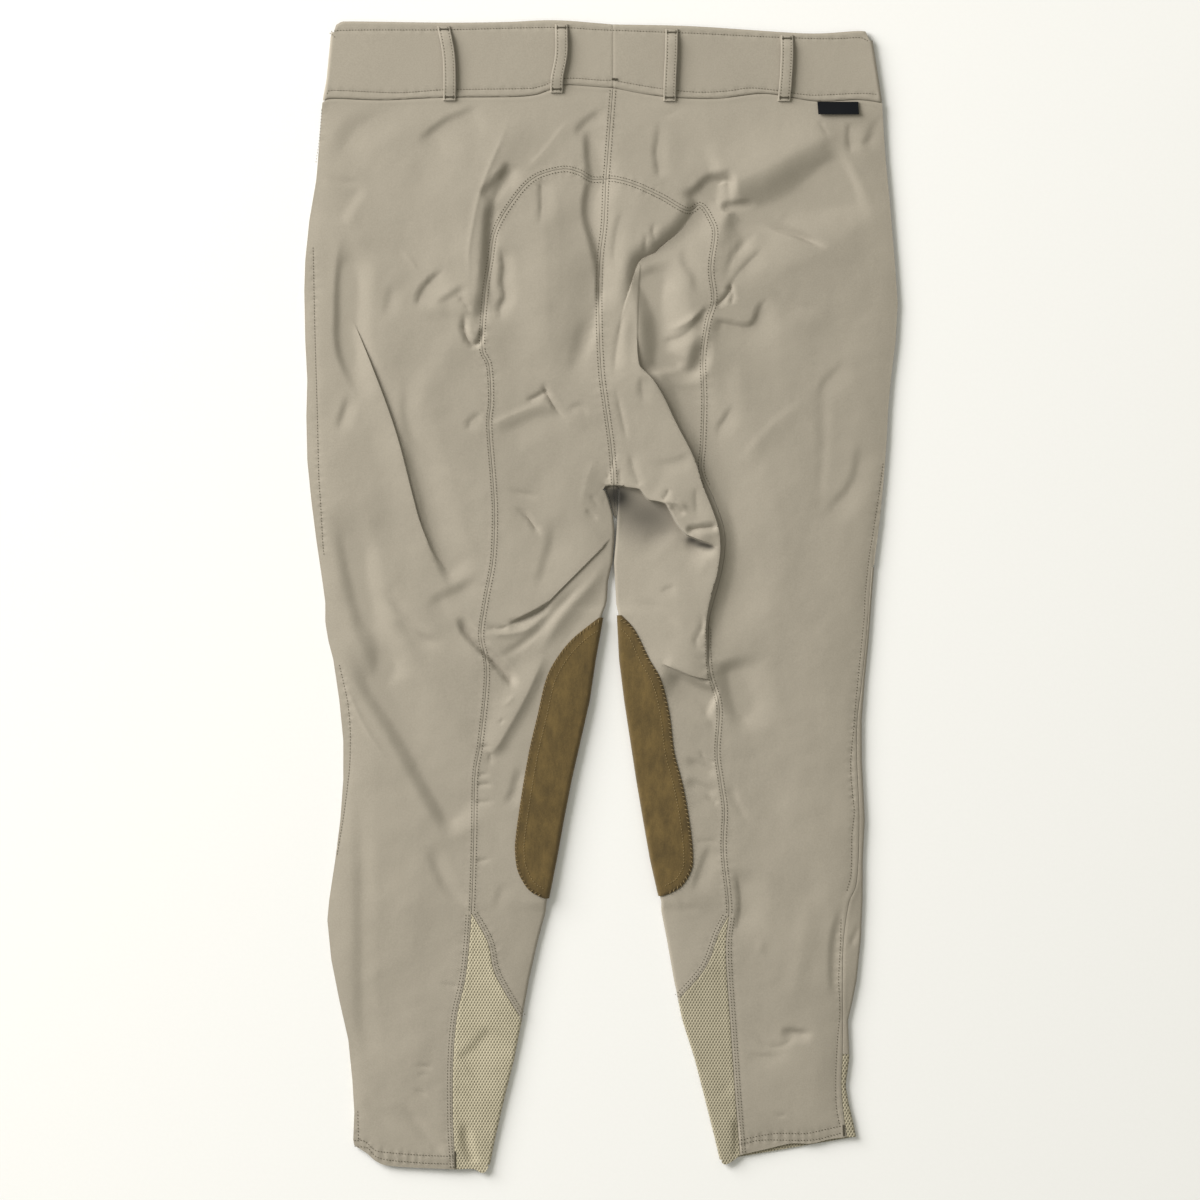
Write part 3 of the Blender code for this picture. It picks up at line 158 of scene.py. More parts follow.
# Folds and creases of the back. Left and right are the widths beside the path. A soft side runs out
# flat, a steep side is round on top and falls off at its foot, and a sharp side comes to an edge.
# fade gives the shares of the path over which its two ends rise.
SEAT_FLAP = [(114, 345), (105, 344.5), (97, 343.5), (92, 342), (89, 339.5), (86, 334), (82, 328),
             (78, 321), (74, 314), (67, 305), (60, 299), (50, 291), (45, 286), (38, 283), (33, 280),
             (30, 275), (27, 266), (24, 256), (21, 247), (18, 235), (15, 220)]
Fold = namedtuple("Fold", "name height left right fade path steep sharp", defaults=("", ""))
FOLDS = [
    Fold("left hip pull", -3.0, 26, 16, (0.3, 0.4),
         [(-150, 412), (-172, 407), (-190, 398), (-204, 388), (-214, 374), (-222, 362),
          (-230, 350)]),
    Fold("left hip trough", -3.4, 28, 6, (0.2, 0.3),
         [(-98, 408), (-108, 404), (-116, 400), (-126, 396), (-136, 389), (-144, 383),
          (-152, 375)]),
    Fold("left seat ridge", 2.0, 26, 24, (0.3, 0.3), [(-76, 404), (-80, 385), (-88, 368), (-97, 352)]),
    Fold("left seat roll", 4.2, 11, 60, (0.2, 0.15),
         [(-82, 370), (-91, 350), (-98, 335), (-102, 315), (-104, 295), (-104, 278), (-103, 262),
          (-102, 245), (-101, 232)], steep="left"),
    Fold("left seat crest", 0.7, 2.5, 2.5, (0.3, 0.3),
         [(-76, 404), (-79, 392), (-84, 378), (-91, 362), (-98, 344), (-103, 328), (-107, 308),
          (-110, 288), (-110, 268), (-112, 255)]),
    Fold("left seat pocket", -2.8, 7, 14, (0.15, 0.4),
         [(-100, 332), (-92, 339), (-85, 346), (-76, 352), (-64, 357)]),
    Fold("left seat wedge", -1.8, 4, 10, (0.3, 0.3), [(-86, 346), (-81, 353), (-76, 362)]),
    Fold("beside left arch", -2.4, 8, 7, (0.1, 0.2),
         [(-92, 327), (-92, 310), (-93, 290), (-96, 265), (-99, 240), (-101, 220)]),
    Fold("inside left arch", -2.4, 12, 4, (0.2, 0.3),
         [(-84, 292), (-81, 275), (-82, 262), (-80, 250), (-84, 240), (-82, 226)]),
    Fold("left waist crease", 0.5, 1.5, 12, (0.2, 0.3),
         [(-62, 357), (-52, 367), (-44, 376), (-37, 385), (-31, 392), (-22, 397)]),
    Fold("left waist trough", -2.4, 6, 18, (0.3, 0.3), [(-22, 382), (-14, 392), (-4, 400), (5, 404)]),
    Fold("centre trough", -4.2, 24, 6, (0.1, 0.15),
         [(-10, 392), (-9, 370), (-7, 350), (-9, 338), (-11, 326), (-10, 312), (-6, 298), (-2, 282),
          (0, 268), (0, 250), (-1, 235)]),
    Fold("left inner roll", 2.6, 40, 30, (0.2, 0.25),
         [(-52, 345), (-48, 320), (-46, 290), (-45, 250), (-44, 215), (-42, 185)]),
    Fold("left centre pull", -1.0, 16, 10, (0.3, 0.3),
         [(-6, 238), (-13, 222), (-18, 205), (-22, 192), (-34, 186)]),
    Fold("left centre shade", -2.0, 8, 26, (0.3, 0.3),
         [(-2, 292), (-3, 265), (-5, 240), (-9, 220), (-15, 203), (-24, 192)]),
    Fold("left seat line", -1.4, 14, 3, (0.2, 0.4), [(-50, 349), (-50, 335), (-50, 320), (-52, 305)]),
    Fold("left hook", -3.0, 4, 4, (0.3, 0.2),
         [(-113, 238), (-114, 224), (-111, 214), (-106, 209), (-101, 213), (-98, 226)]),
    Fold("left hook line", -1.2, 2.5, 3, (0.3, 0.3), [(-119, 249), (-113, 244), (-109, 237)]),
    Fold("left hip crease 1", -2.4, 26, 4, (0.4, 0.3),
         [(-128, 273), (-138, 266), (-146, 258), (-151, 249), (-153, 238)]),
    Fold("left hip crease 2", -1.8, 16, 5, (0.3, 0.4),
         [(-110, 257), (-120, 252), (-129, 246), (-138, 240)]),
    Fold("left hip crease 3", -0.9, 12, 6, (0.4, 0.4), [(-172, 263), (-176, 246), (-179, 230)]),
    Fold("left hip sheen", 0.5, 3, 3, (0.4, 0.4), [(-168, 292), (-156, 276), (-149, 267)]),
    Fold("left side crossing", -0.8, 6, 6, (0.4, 0.4), [(-236, 352), (-215, 345), (-195, 346)]),
    Fold("left side trough", -4.8, 22, 12, (0.3, 0.3),
         [(-204, 302), (-208, 285), (-210, 262), (-211, 235), (-211, 215), (-208, 200), (-203, 188),
          (-196, 175), (-190, 164)], steep="right"),
    Fold("left side dent", -1.6, 12, 5, (0.4, 0.4), [(-208, 170), (-212, 158), (-216, 146), (-219, 134)]),
    Fold("left side shade", -1.4, 10, 24, (0.3, 0.3), [(-196, 346), (-206, 334), (-214, 322), (-220, 308)]),
    Fold("left thigh arc", 0.8, 24, 16, (0.3, 0.3),
         [(-126, 234), (-124, 216), (-130, 200), (-140, 183), (-147, 168), (-150, 150), (-146, 132),
          (-136, 118)]),
    Fold("left thigh trough", -1.3, 20, 8, (0.3, 0.3),
         [(-160, 188), (-162, 168), (-161, 150), (-157, 135), (-149, 123), (-139, 113), (-122, 104),
          (-104, 99)]),
    Fold("left thigh fold shade", -3.4, 9, 26, (0.12, 0.35),
         [(-118, 8), (-132, 36), (-140, 60), (-146, 85), (-153, 110), (-161, 136),
          (-169, 156)], steep="left"),
    Fold("left lower side trough", -4.6, 24, 16, (0.3, 0.15),
         [(-227, 76), (-217, 60), (-209, 44), (-205, 24), (-201, 6), (-197, -10), (-192, -26),
          (-185, -42), (-178, -58), (-170, -76)]),
    Fold("left knee trough", -6.0, 46, 15, (0.25, 0.12),
         [(-212, -40), (-200, -60), (-184, -84), (-165, -114), (-149, -144), (-136, -167),
          (-124, -187), (-117, -200)]),
    Fold("left knee sheen", 0.9, 2.5, 3, (0.3, 0.4),
         [(-217, -64), (-206, -90), (-195, -112), (-184, -128), (-176, -140)]),
    Fold("left knee dent 1", -1.8, 5, 14, (0.4, 0.4),
         [(-174, -16), (-164, -25), (-155, -32), (-144, -37), (-130, -41)]),
    Fold("left knee dent 2", -1.8, 9, 22, (0.3, 0.4),
         [(-147, -13), (-135, -5), (-122, 1), (-108, 9), (-96, 17)]),
    Fold("left knee dent 3", -1.4, 9, 7, (0.4, 0.4),
         [(-182, 10), (-172, -6), (-160, -18), (-148, -26), (-138, -27)]),
    Fold("left inner bow", -1.7, 34, 8, (0.4, 0.3), [(-38, 68), (-39, 50), (-43, 33), (-48, 18), (-52, 3)]),
    Fold("left inner line 1", -1.9, 3, 2.5, (0.5, 0.3),
         [(-74, 75), (-66, 70), (-60, 64), (-55, 57), (-50, 49)]),
    Fold("left inner line 2", -0.9, 2.5, 5, (0.4, 0.4), [(-78, 90), (-66, 86), (-50, 83)]),
    Fold("left inner ridge", 0.8, 4, 8, (0.2, 0.2),
         [(-94, 141), (-80, 148), (-66, 154), (-52, 159), (-42, 160)]),
    Fold("left inner trough 1", -1.8, 3, 4, (0.4, 0.2), [(-64, 162), (-54, 166), (-44, 172)]),
    Fold("left inner trough 2", -1.2, 9, 20, (0.3, 0.3),
         [(-90, 130), (-75, 137), (-60, 145), (-46, 149), (-34, 150), (-22, 146)]),
    Fold("left roll foot", -2.2, 3.5, 2.5, (0.3, 0.4),
         [(-50, 179), (-46, 171), (-42, 163), (-36, 154), (-29, 148)]),
    Fold("left roll dent", -1.1, 5, 5, (0.4, 0.4), [(-28, 153), (-18, 158), (-10, 150)]),
    Fold("left seam dent", -1.0, 4, 10, (0.3, 0.3), [(-110, 136), (-109, 145), (-103, 150), (-97, 149)]),
    Fold("left crotch ridge", 0.6, 10, 3, (0.3, 0.4),
         [(-1, 114), (-7, 110), (-11, 100), (-14, 88), (-17, 74)]),
    Fold("left crotch crease 1", -1.5, 3, 4, (0.3, 0.4), [(-13, 73), (-8, 68), (-1, 63)]),
    Fold("left crotch crease 2", -0.9, 3, 3, (0.3, 0.4), [(-10, 85), (-5, 79), (0, 70)]),
    Fold("left crotch gather", -0.5, 2, 2, (0.3, 0.1), [(3, 105), (6, 100), (7, 94)]),
    Fold("left seam crossing", -7.0, 8, 4.5, (0.25, 0.2),
         [(-119, -16), (-113, -29), (-105, -38), (-97, -46), (-90, -53), (-84, -60), (-77, -68),
          (-72, -78)]),
    Fold("left seam crossing tip", -5.0, 2.5, 2.5, (0.3, 0.2),
         [(-92, -52), (-86, -57), (-80, -64), (-76, -70)]),
    Fold("left knee crescent", 1.2, 4, 4, (0.3, 0.3),
         [(-100, -29), (-86, -32), (-72, -31), (-60, -27), (-50, -19)]),
    Fold("left knee line", -1.6, 2.5, 3, (0.3, 0.3), [(-96, -25), (-86, -27.5), (-76, -25)]),
    Fold("left knee pocket", -3.0, 7, 2.5, (0.3, 0.3),
         [(-40, -4), (-50, -11), (-59, -16), (-69, -20.5), (-80, -24)]),
    Fold("left knee bow", -1.6, 6, 5, (0.3, 0.3),
         [(-92, -53), (-78, -48), (-64, -39), (-51, -28), (-40, -15), (-25, 1), (-10, 16)]),
    Fold("left inner knee ridge", 1.0, 5, 8, (0.3, 0.2),
         [(-58, -52), (-47, -38), (-37, -22), (-22, -4), (-6, 13), (6, 33)]),
    Fold("left inner knee", -2.6, 28, 14, (0.3, 0.3),
         [(11, 20), (-1, 0), (-14, -17), (-28, -34), (-41, -50)]),
    Fold("left knee ridge", 3.0, 9, 22, (0.25, 0.15),
         [(-46, -46), (-54, -66), (-62, -83), (-70, -98), (-78, -112), (-86, -125),
          (-95, -135)], sharp="left"),
    Fold("left knee ridge end", -0.8, 4, 3, (0.2, 0.5), [(-92, -130), (-93, -143)]),
    Fold("left knee nick", -0.9, 1.5, 2, (0.4, 0.4), [(-86, -107), (-80, -102)]),
    Fold("left knee curl", 0.6, 2, 3, (0.4, 0.4), [(-84, -91), (-77, -88), (-71, -81)]),
    Fold("left seam tuck 1", -0.9, 2.5, 3.5, (0.2, 0.5), [(-101, -125), (-91, -126)]),
    Fold("left seam tuck 2", -1.0, 2.5, 3.5, (0.2, 0.5), [(-103, -149), (-91, -148)]),
    Fold("left seam tuck 3", -1.1, 2.5, 3.5, (0.2, 0.5), [(-104, -157), (-89, -157)]),
    Fold("left seam tuck 4", -0.9, 2.5, 3.5, (0.2, 0.5), [(-105, -172), (-88, -171)]),
    Fold("left seam tuck 5", -0.8, 2.5, 3.5, (0.2, 0.5), [(-104, -221), (-91, -219)]),
    Fold("left patch bow", -1.6, 12, 6, (0.3, 0.3), [(-66, -140), (-69, -152), (-73, -165), (-80, -177)]),
    Fold("left calf dip 1", -1.6, 12, 8, (0.3, 0.3),
         [(-143, -205), (-137, -222), (-129, -240), (-118, -252), (-109, -258)]),
    Fold("left calf dip 2", -0.7, 5, 12, (0.4, 0.4), [(-90, -264), (-84, -250), (-80, -236)]),
    Fold("left calf groove", -1.3, 14, 10, (0.3, 0.3),
         [(-204, -150), (-200, -200), (-199, -262), (-199, -320), (-197, -365), (-190, -392),
          (-176, -410)]),
    Fold("left calf tuck", -0.7, 3, 4, (0.5, 0.2), [(-135, -322), (-119, -326)]),
    Fold("left calf mark 1", -0.8, 2, 3, (0.4, 0.4), [(-155, -391), (-148, -391.5), (-139, -394)]),
    Fold("left calf mark 2", -0.6, 2, 3, (0.4, 0.4), [(-154, -398), (-144, -399.5)]),
    Fold("left calf mark 3", -0.7, 2, 3, (0.4, 0.4), [(-156, -411), (-150, -413), (-144, -417)]),
    Fold("left hem dip 1", -1.3, 7, 9, (0.3, 0.2), [(-168, -424), (-155, -437), (-143, -452), (-128, -466)]),
    Fold("left hem dip 2", -0.9, 7, 7, (0.4, 0.4), [(-200, -415), (-190, -428), (-172, -440)]),
    Fold("left mesh dip", -2.0, 8, 50, (0.2, 0.2), [(-119, -388), (-110, -382), (-99, -371), (-90, -360)]),
    Fold("left mesh hem dip", -3.4, 8, 6, (0.4, 0.02), [(-114, -436), (-112, -455), (-107, -472)]),
    Fold("right hip trough", -7.5, 38, 50, (0.15, 0.12),
         [(99, 310), (112, 308), (126, 311), (142, 319), (160, 328), (182, 340), (212, 356)]),
    Fold("right hip crest", 4.0, 45, 30, (0.1, 0.2),
         [(92, 342), (105, 345), (120, 348), (140, 357), (160, 368), (180, 379), (202, 386)]),
    Fold("right hip pit", -5.5, 6, 5, (0.2, 0.5), [(100, 323), (108, 324), (118, 325), (130, 327)]),
    Fold("right hip ridge", 1.2, 3, 14, (0.1, 0.3),
         [(99, 321), (115, 315), (130, 309), (145, 304), (165, 297), (182, 290)]),
    Fold("right hip crease", -3.4, 7, 3, (0.2, 0.4),
         [(138, 310), (150, 305), (165, 299.5), (178, 294), (190, 289)]),
    Fold("right hip knock", 0.7, 3, 4, (0.4, 0.4), [(144, 311), (150, 318), (158, 325)]),
    Fold("flap tip line", -1.2, 2.5, 3, (0.3, 0.4), [(91, 340), (93, 333), (98, 326)]),
    Fold("right seat flap", -6.5, 45, 13, (0.05, 0.45), SEAT_FLAP, sharp="right"),
    Fold("flap corner shade", -3.5, 9, 3, (0.2, 0.4),
         [(82, 333), (87, 340), (93, 344.5), (101, 346.5), (112, 348)]),
    Fold("flap fold 1", -1.2, 12, 4, (0.4, 0.4), [(21, 326), (15, 312), (12, 298), (11, 284), (13, 268)]),
    Fold("flap fold 2", -1.1, 5, 2.5, (0.4, 0.4), [(45, 312), (43, 303), (46, 294)]),
    Fold("flap fold 3", -1.0, 4, 3, (0.4, 0.3), [(39, 304), (37, 294), (37, 284)]),
    Fold("right seat ridge", 0.6, 12, 5, (0.3, 0.3), [(134, 303), (121, 290), (110, 276), (103, 262)]),
    Fold("right seat line", -1.0, 16, 3, (0.3, 0.2),
         [(137, 291), (128, 283), (118, 273), (111, 264), (108, 256)]),
    Fold("right seat shade", -1.2, 10, 6, (0.3, 0.3),
         [(130, 303), (120, 294), (112, 284), (106, 270), (103, 258)]),
    Fold("right seat hook 1", -2.2, 3, 3, (0.3, 0.2), [(109, 263), (107, 254), (102, 247), (95, 241)]),
    Fold("right seat hook 2", -1.5, 2.5, 3, (0.3, 0.3), [(107, 260), (110, 251), (108, 242)]),
    Fold("right seat curl", -1.4, 14, 6, (0.4, 0.3),
         [(76, 294), (70, 286), (71, 277), (77, 269), (80, 260), (83, 250)]),
    Fold("right fold line", -1.6, 4, 10, (0.2, 0.2),
         [(48, 211), (58, 213), (67, 216), (75, 222), (82, 231), (88, 238), (96, 242)]),
    Fold("right fold band", 1.6, 5, 4, (0.4, 0.3), [(54, 221), (66, 225), (76, 231), (85, 239)]),
    Fold("right fold valley", -1.0, 5, 10, (0.2, 0.3), [(86, 238), (84, 224), (84, 210), (80, 196)]),
    Fold("right bulge foot", -4.5, 12, 12, (0.2, 0.3),
         [(50, 202), (56, 194), (64, 189), (72, 187), (79, 191), (83, 202), (82, 216)]),
    Fold("right zigzag", -2.4, 4, 24, (0.15, 0.3),
         [(92, 229), (108, 226), (122, 224), (129, 229), (133, 240), (141, 249)]),
    Fold("right hip arc", -0.7, 5, 12, (0.4, 0.4), [(140, 262), (150, 250), (165, 241), (183, 239)]),
    Fold("right roll line", -0.9, 4, 3, (0.3, 0.3), [(20, 240), (15, 218), (12, 198), (11, 180)]),
    Fold("right roll rise", 0.7, 8, 8, (0.3, 0.3), [(24, 245), (21, 220), (20, 195), (24, 175)]),
    Fold("right waist crease 1", -1.6, 12, 4, (0.4, 0.2),
         [(48, 400), (48, 384), (46, 372), (47, 360), (50, 346)]),
    Fold("right waist crease 2", -0.8, 4, 4, (0.4, 0.4), [(46, 400), (58, 402), (70, 409)]),
    Fold("right side pull 1", -2.4, 12, 5, (0.1, 0.3), [(234, 398), (228, 391), (225, 382), (218, 373)]),
    Fold("right side pull 2", -2.0, 12, 4, (0.2, 0.3), [(208, 396), (206.5, 383), (209, 368)]),
    Fold("right side pull 3", -0.8, 10, 4, (0.4, 0.4), [(176, 352), (179, 340), (181, 328)]),
    Fold("label pull", -1.0, 3, 4, (0.3, 0.4), [(183, 398), (186, 389), (192, 382)]),
    Fold("right thigh line", -1.4, 14, 4, (0.4, 0.4), [(112, 162), (104, 148), (99, 140), (97, 128)]),
    Fold("right thigh soft", -0.9, 14, 14, (0.4, 0.4), [(100, 200), (110, 150)]),
    Fold("right thigh ridge", 0.6, 16, 6, (0.3, 0.3),
         [(174, 168), (160, 155), (150, 148), (140, 139), (130, 128), (120, 115), (111, 105)]),
    Fold("right diagonal 1", -0.8, 16, 6, (0.4, 0.4), [(207, 202), (200, 190), (188, 178), (180, 160)]),
    Fold("right diagonal 2", -0.6, 8, 8, (0.3, 0.4), [(186, 185), (185, 120), (180, 60)]),
    Fold("right diagonal 3", -1.4, 18, 7, (0.3, 0.4),
         [(220, 132), (216, 115), (213, 100), (207, 88), (199, 79), (190, 69), (182, 58)]),
    Fold("right roll shade", -5.0, 44, 14, (0.15, 0.2),
         [(48, 200), (56, 184), (66, 166), (74, 150), (83, 134), (92, 112), (100, 92), (108, 70),
          (112, 50), (112, 32), (110, 15), (104, -5), (100, -25), (100, -45)]),
    Fold("right roll wedge", -9.0, 30, 19, (0.2, 0.1),
         [(37, 276), (42, 262), (45, 246), (48, 230), (49.5, 212), (50, 198), (52, 185)]),
    Fold("crotch lump", 1.7, 3, 3, (0.3, 0.3), [(50, 79), (60, 78), (67, 76), (72, 71)]),
    Fold("crotch lump foot", -1.8, 3, 3, (0.3, 0.3), [(57, 75), (63, 71), (71, 68)]),
    Fold("crotch notch", -1.5, 2, 3, (0.3, 0.2), [(55, 90), (56, 85), (51, 80)]),
    Fold("crotch dart", -3.6, 4, 5, (0.2, 0.2), [(70, 54), (79, 56), (88, 57), (98, 58)]),
    Fold("crotch dart pocket", -3.0, 3, 12, (0.35, 0.3), [(71, 48.5), (79, 43.5), (87, 41), (97, 39.5)]),
    Fold("crotch band 1", -1.0, 6, 12, (0.4, 0.2), [(38, 111), (58, 110), (76, 117)]),
    Fold("crotch band 2", -0.8, 6, 3, (0.3, 0.3), [(79, 92), (79, 80), (80, 66)]),
    Fold("crotch gather 1", -1.4, 6, 3.5, (0.4, 0.1), [(23, 122), (26, 110), (29, 100), (32, 91)]),
    Fold("crotch gather 2", -1.4, 5, 2.5, (0.3, 0.2), [(16, 107), (15, 100), (18, 94)]),
    Fold("under the crotch flap", -4.0, 14, 34, (0.1, 0.3),
         [(14, 78), (26, 76), (36, 70), (46, 62), (54, 52), (62, 44)]),
    Fold("crotch pull 1", -1.1, 4, 3, (0.4, 0.3), [(11, 178), (15, 160), (19, 142), (22, 126)]),
    Fold("crotch pull 2", -1.1, 12, 4, (0.3, 0.5), [(34, 184), (34, 171), (38, 158)]),
    Fold("right knee dent 1", -0.9, 3, 14, (0.4, 0.4), [(49, 1), (55, 6), (64, 8)]),
    Fold("right knee dent 2", -1.2, 6, 12, (0.4, 0.4), [(28, -4), (45, -9), (58, -19), (70, -29)]),
    Fold("right knee dent 3", -1.1, 4, 4, (0.4, 0.3), [(83, -12), (84, -26), (79, -38), (84, -46)]),
    Fold("right knee crease", -7.0, 8, 26, (0.35, 0.12),
         [(53, -60), (62, -67), (73, -74), (86, -80), (98, -84)]),
    Fold("right knee slope", -5.0, 34, 16, (0.2, 0.4),
         [(104, -52), (109, -68), (114, -84), (119, -100), (125, -118)]),
    Fold("right knee soft", -0.9, 6, 6, (0.4, 0.4), [(80, -82), (90, -98), (96, -118)]),
    Fold("right seam tuck 1", -1.0, 2, 3, (0.4, 0.2), [(82, -127), (87, -136), (96, -140)]),
    Fold("right seam tuck 2", -1.8, 5, 9, (0.3, 0.3), [(70, -136), (84, -142), (98, -149)]),
    Fold("right seam tuck 3", -1.8, 5, 9, (0.3, 0.3), [(70, -153), (84, -159), (98, -165)]),
    Fold("right seam tuck 4", -1.2, 3, 4, (0.5, 0.2), [(86, -165), (98, -173)]),
    Fold("right seam tuck 5", -0.6, 2.5, 3, (0.4, 0.2), [(76, -205), (99, -204)]),
    Fold("right calf soft", -0.9, 5, 6, (0.3, 0.4), [(107, -153), (112, -170), (118, -181), (126, -192)]),
    Fold("right patch bow", -1.5, 14, 5, (0.3, 0.3),
         [(94, -206), (88, -217), (84, -228), (80, -240), (77, -250)]),
    Fold("right patch dent", -0.8, 5, 5, (0.4, 0.4), [(66, -248), (70, -259), (84, -262)]),
    Fold("right seam crescent", -2.4, 26, 4, (0.3, 0.3),
         [(111, -226), (115, -240), (116.5, -254), (115.5, -268), (112, -284)]),
    Fold("placket trough", -1.8, 14, 5, (0.3, 0.3),
         [(204, -254), (199, -268), (195.5, -282), (194, -296), (193.5, -310), (194, -325),
          (197, -340)]),
    Fold("right calf ridge", 0.7, 14, 14, (0.3, 0.4), [(176, -248), (166, -300), (156, -350)]),
    Fold("right calf crease", -2.6, 4.5, 10, (0.3, 0.4),
         [(149, -362.5), (158, -363.5), (167, -364.5), (178, -366)]),
    Fold("right calf arc 1", -0.8, 4, 5, (0.4, 0.3),
         [(129, -360), (133, -370), (141, -376), (151, -375), (159, -369), (161, -361)]),
    Fold("right calf arc 2", -0.7, 4, 12, (0.4, 0.4), [(117, -381), (135, -384), (150, -381), (162, -376)]),
    Fold("right calf mark", -0.6, 2, 2, (0.4, 0.4), [(145, -433), (156, -433)]),
    Fold("right strip crease", -2.5, 2.5, 4, (0.3, 0.3), [(217, -272), (213, -282), (208, -293)]),
    Fold("right mesh dip", -3.4, 3, 5, (0.4, 0.02), [(112, -432), (113.5, -448), (114.5, -466)]),
    Fold("right mesh soft", -0.8, 7, 7, (0.4, 0.4), [(92, -420), (103, -412), (110, -402)]),
]
# Edges where the cloth laps over itself. The left of the path lies on top, over high at the
# edge and fading over its width; the right dips under it, under deep and fading over its width.
Lap = namedtuple("Lap", "name over over_width under under_width fade path")
LAPS = [
    Lap("right thigh roll", 4.2, 58, 2.0, 22, (0.15, 0.12),
        [(90, -66), (88.5, -55), (88, -40), (87.5, -30), (88, -20), (90, -8), (93, 5), (96, 15),
         (98, 25), (99.5, 38), (99, 50), (97, 60), (93, 72), (89, 82), (85, 92), (82, 102), (79, 112),
         (73, 125), (66, 138), (60, 150), (54, 163), (49, 172), (43, 181), (36, 188), (32, 193),
         (30.5, 205), (30.5, 220)]),
    Lap("right seat flap", 0.3, 8, 1.2, 8, (0.15, 0.35), SEAT_FLAP),
    Lap("right thigh roll top", 0.3, 6, 0.2, 4, (0.2, 0.05),
        [(32, 193), (30.5, 205), (30.5, 225), (31, 245), (32, 262), (33, 278)]),
    Lap("crotch flap", 5.0, 34, 6.0, 36, (0.16, 0.16),
        [(1, 95), (2, 93.5), (5, 92.5), (10, 92), (17, 92), (22, 90.5), (30, 89.5), (33, 88), (36, 84),
         (40, 80), (46, 79), (53, 77), (56, 73), (60, 66), (64, 59), (70, 52), (76, 49), (84, 46),
         (92, 43), (97, 40)]),
    Lap("left thigh", 1.4, 42, 0.8, 14, (0.2, 0.1),
        [(-80, -26), (-72, -21), (-65, -17), (-55, -12), (-45, -6), (-35, 4), (-22, 17), (-10, 29),
         (0, 39), (9, 49)]),
    Lap("left thigh fold", 2.2, 26, 1.2, 18, (0.25, 0.3),
        [(-124, 14), (-131, 24), (-140, 37), (-150, 60), (-157, 85), (-162, 105), (-168, 128),
         (-175, 150), (-183, 172), (-190, 190), (-196, 205), (-205, 226), (-216, 246)]),
    Lap("right knee lap", 1.8, 14, 1.8, 12, (0.2, 0.12),
        [(50, -56), (61, -61), (71, -65), (81, -68), (92, -70)]),
]
Mound = namedtuple("Mound", "name x y height across along")
MOUNDS = [   # round rises and dips, across in X and along in Y
    Mound("flap corner hollow", 80, 334, -5.0, 9, 5),
    Mound("right seat rise", 52, 262, 4.5, 50, 70),
    Mound("right thigh rise", 118, 30, 3.5, 34, 75),
    Mound("right knee rise", 72, -62, 4.0, 28, 24),
    Mound("right hip rise", 150, 315, 3.0, 58, 50),
    Mound("right bulge rise", 56, 205, 2.5, 34, 36),
    Mound("left crossing rise", -92, -48, 2.6, 26, 28),
    Mound("left calf rise", -140, -155, 2.2, 44, 60),
    Mound("left knee rise", -175, -68, 2.5, 45, 50),
    Mound("crotch hollow", 20, 78, -5.0, 16, 16),
    Mound("left thigh", -130, 150, 1.5, 40, 60),
    Mound("right knee bulge", 60, 0, 3.0, 34, 50),
    Mound("right calf spot", 133, -293, 0.7, 4, 5),
]
# Spots of painted shade under the crotch flap, standing in for the shadow that falls there
Hollow = namedtuple("Hollow", "name x y depth across along")
PAINTED_SHADE_SPOTS = [   # shares of painted shade: the cloth is darkened under the crotch flap, where shadow falls
    Hollow("crotch pocket", 12, 84, 0.95, 14, 12),
    Hollow("crotch slope", 38, 66, 0.6, 28, 19),
    Hollow("crotch dart 1", 76, 47, 0.75, 6, 3),
    Hollow("crotch dart 2", 84, 43, 0.75, 7, 3),
    Hollow("crotch dart 3", 91, 41, 0.6, 5, 2.4),
]
Loop = namedtuple("Loop", "name path")
BELT_LOOPS = [
    Loop("belt_loop_1", [(-131.3, 475), (-127, 452), (-126, 430), (-126.3, 413)]),
    Loop("belt_loop_2", [(-33, 476.5), (-33, 452), (-36.5, 432), (-37, 419.5)]),
    Loop("belt_loop_3", [(59, 472.5), (58.5, 450), (57.5, 430), (57.2, 412.5)]),
    Loop("belt_loop_4", [(155, 467.5), (155, 448), (154, 430), (152.5, 412.5)]),
]
# How far the inner leg panel wraps round to the front, as a width for each y
WRAP_WIDTH = [(0, 92), (14, 60), (34, 20), (52, -20), (60, -100), (62, -240), (62, -360)]

# Rows of stitches. A row is a path of its own, or a seam moved sideways by a distance.
SEAMS = {"centre back": CENTRE_BACK, "left mesh": LEFT_MESH_TOP, "right mesh": RIGHT_MESH_TOP}
HIDDEN = {"right seam": (-24.0, 90.0)}   # heights between which the thigh roll covers a seam
SEAM_ROWS = [
    ("centre back", (-2.4, 2.4)), ("left arch", (-2.3, 2.3)), ("right arch", (-2.3, 2.3)),
    ("left seam", (-2.2, 2.2)), ("right seam", (-2.2, 2.2)), ("left calf", (-4.4, -2.0)),
    ("right calf", (2.0, 4.4)), ("left mesh", (2.0, 4.4)), ("right mesh", (-2.0, -4.4)),
]
SIDE_ROWS = [
    [(-233, 405), (-235, 380), (-237.5, 362)],
    [(-240, 290), (-239, 240), (-238, 200), (-236.5, 150), (-235.3, 100), (-234, 80), (-232, 45),
     (-231, 35)],
    [(-218, -58), (-214, -75), (-211, -90), (-209.3, -108), (-209, -120), (-209.5, -140),
     (-211, -155), (-213.5, -175), (-216.5, -195), (-220, -215)],
    [(-202.8, -430), (-202.3, -452)],
    [(235, 110), (232, 88), (227, 55), (223, 30), (220, 0), (219, -20), (213, -80),
     (210.5, -110), (208, -140), (209.5, -165), (211, -180), (209, -200), (208.5, -230),
     (205, -245)],
    [(200, -270), (199.5, -290), (198, -320), (199, -345), (197, -370), (195.5, -400),
     (196, -425), (199, -442)],
]
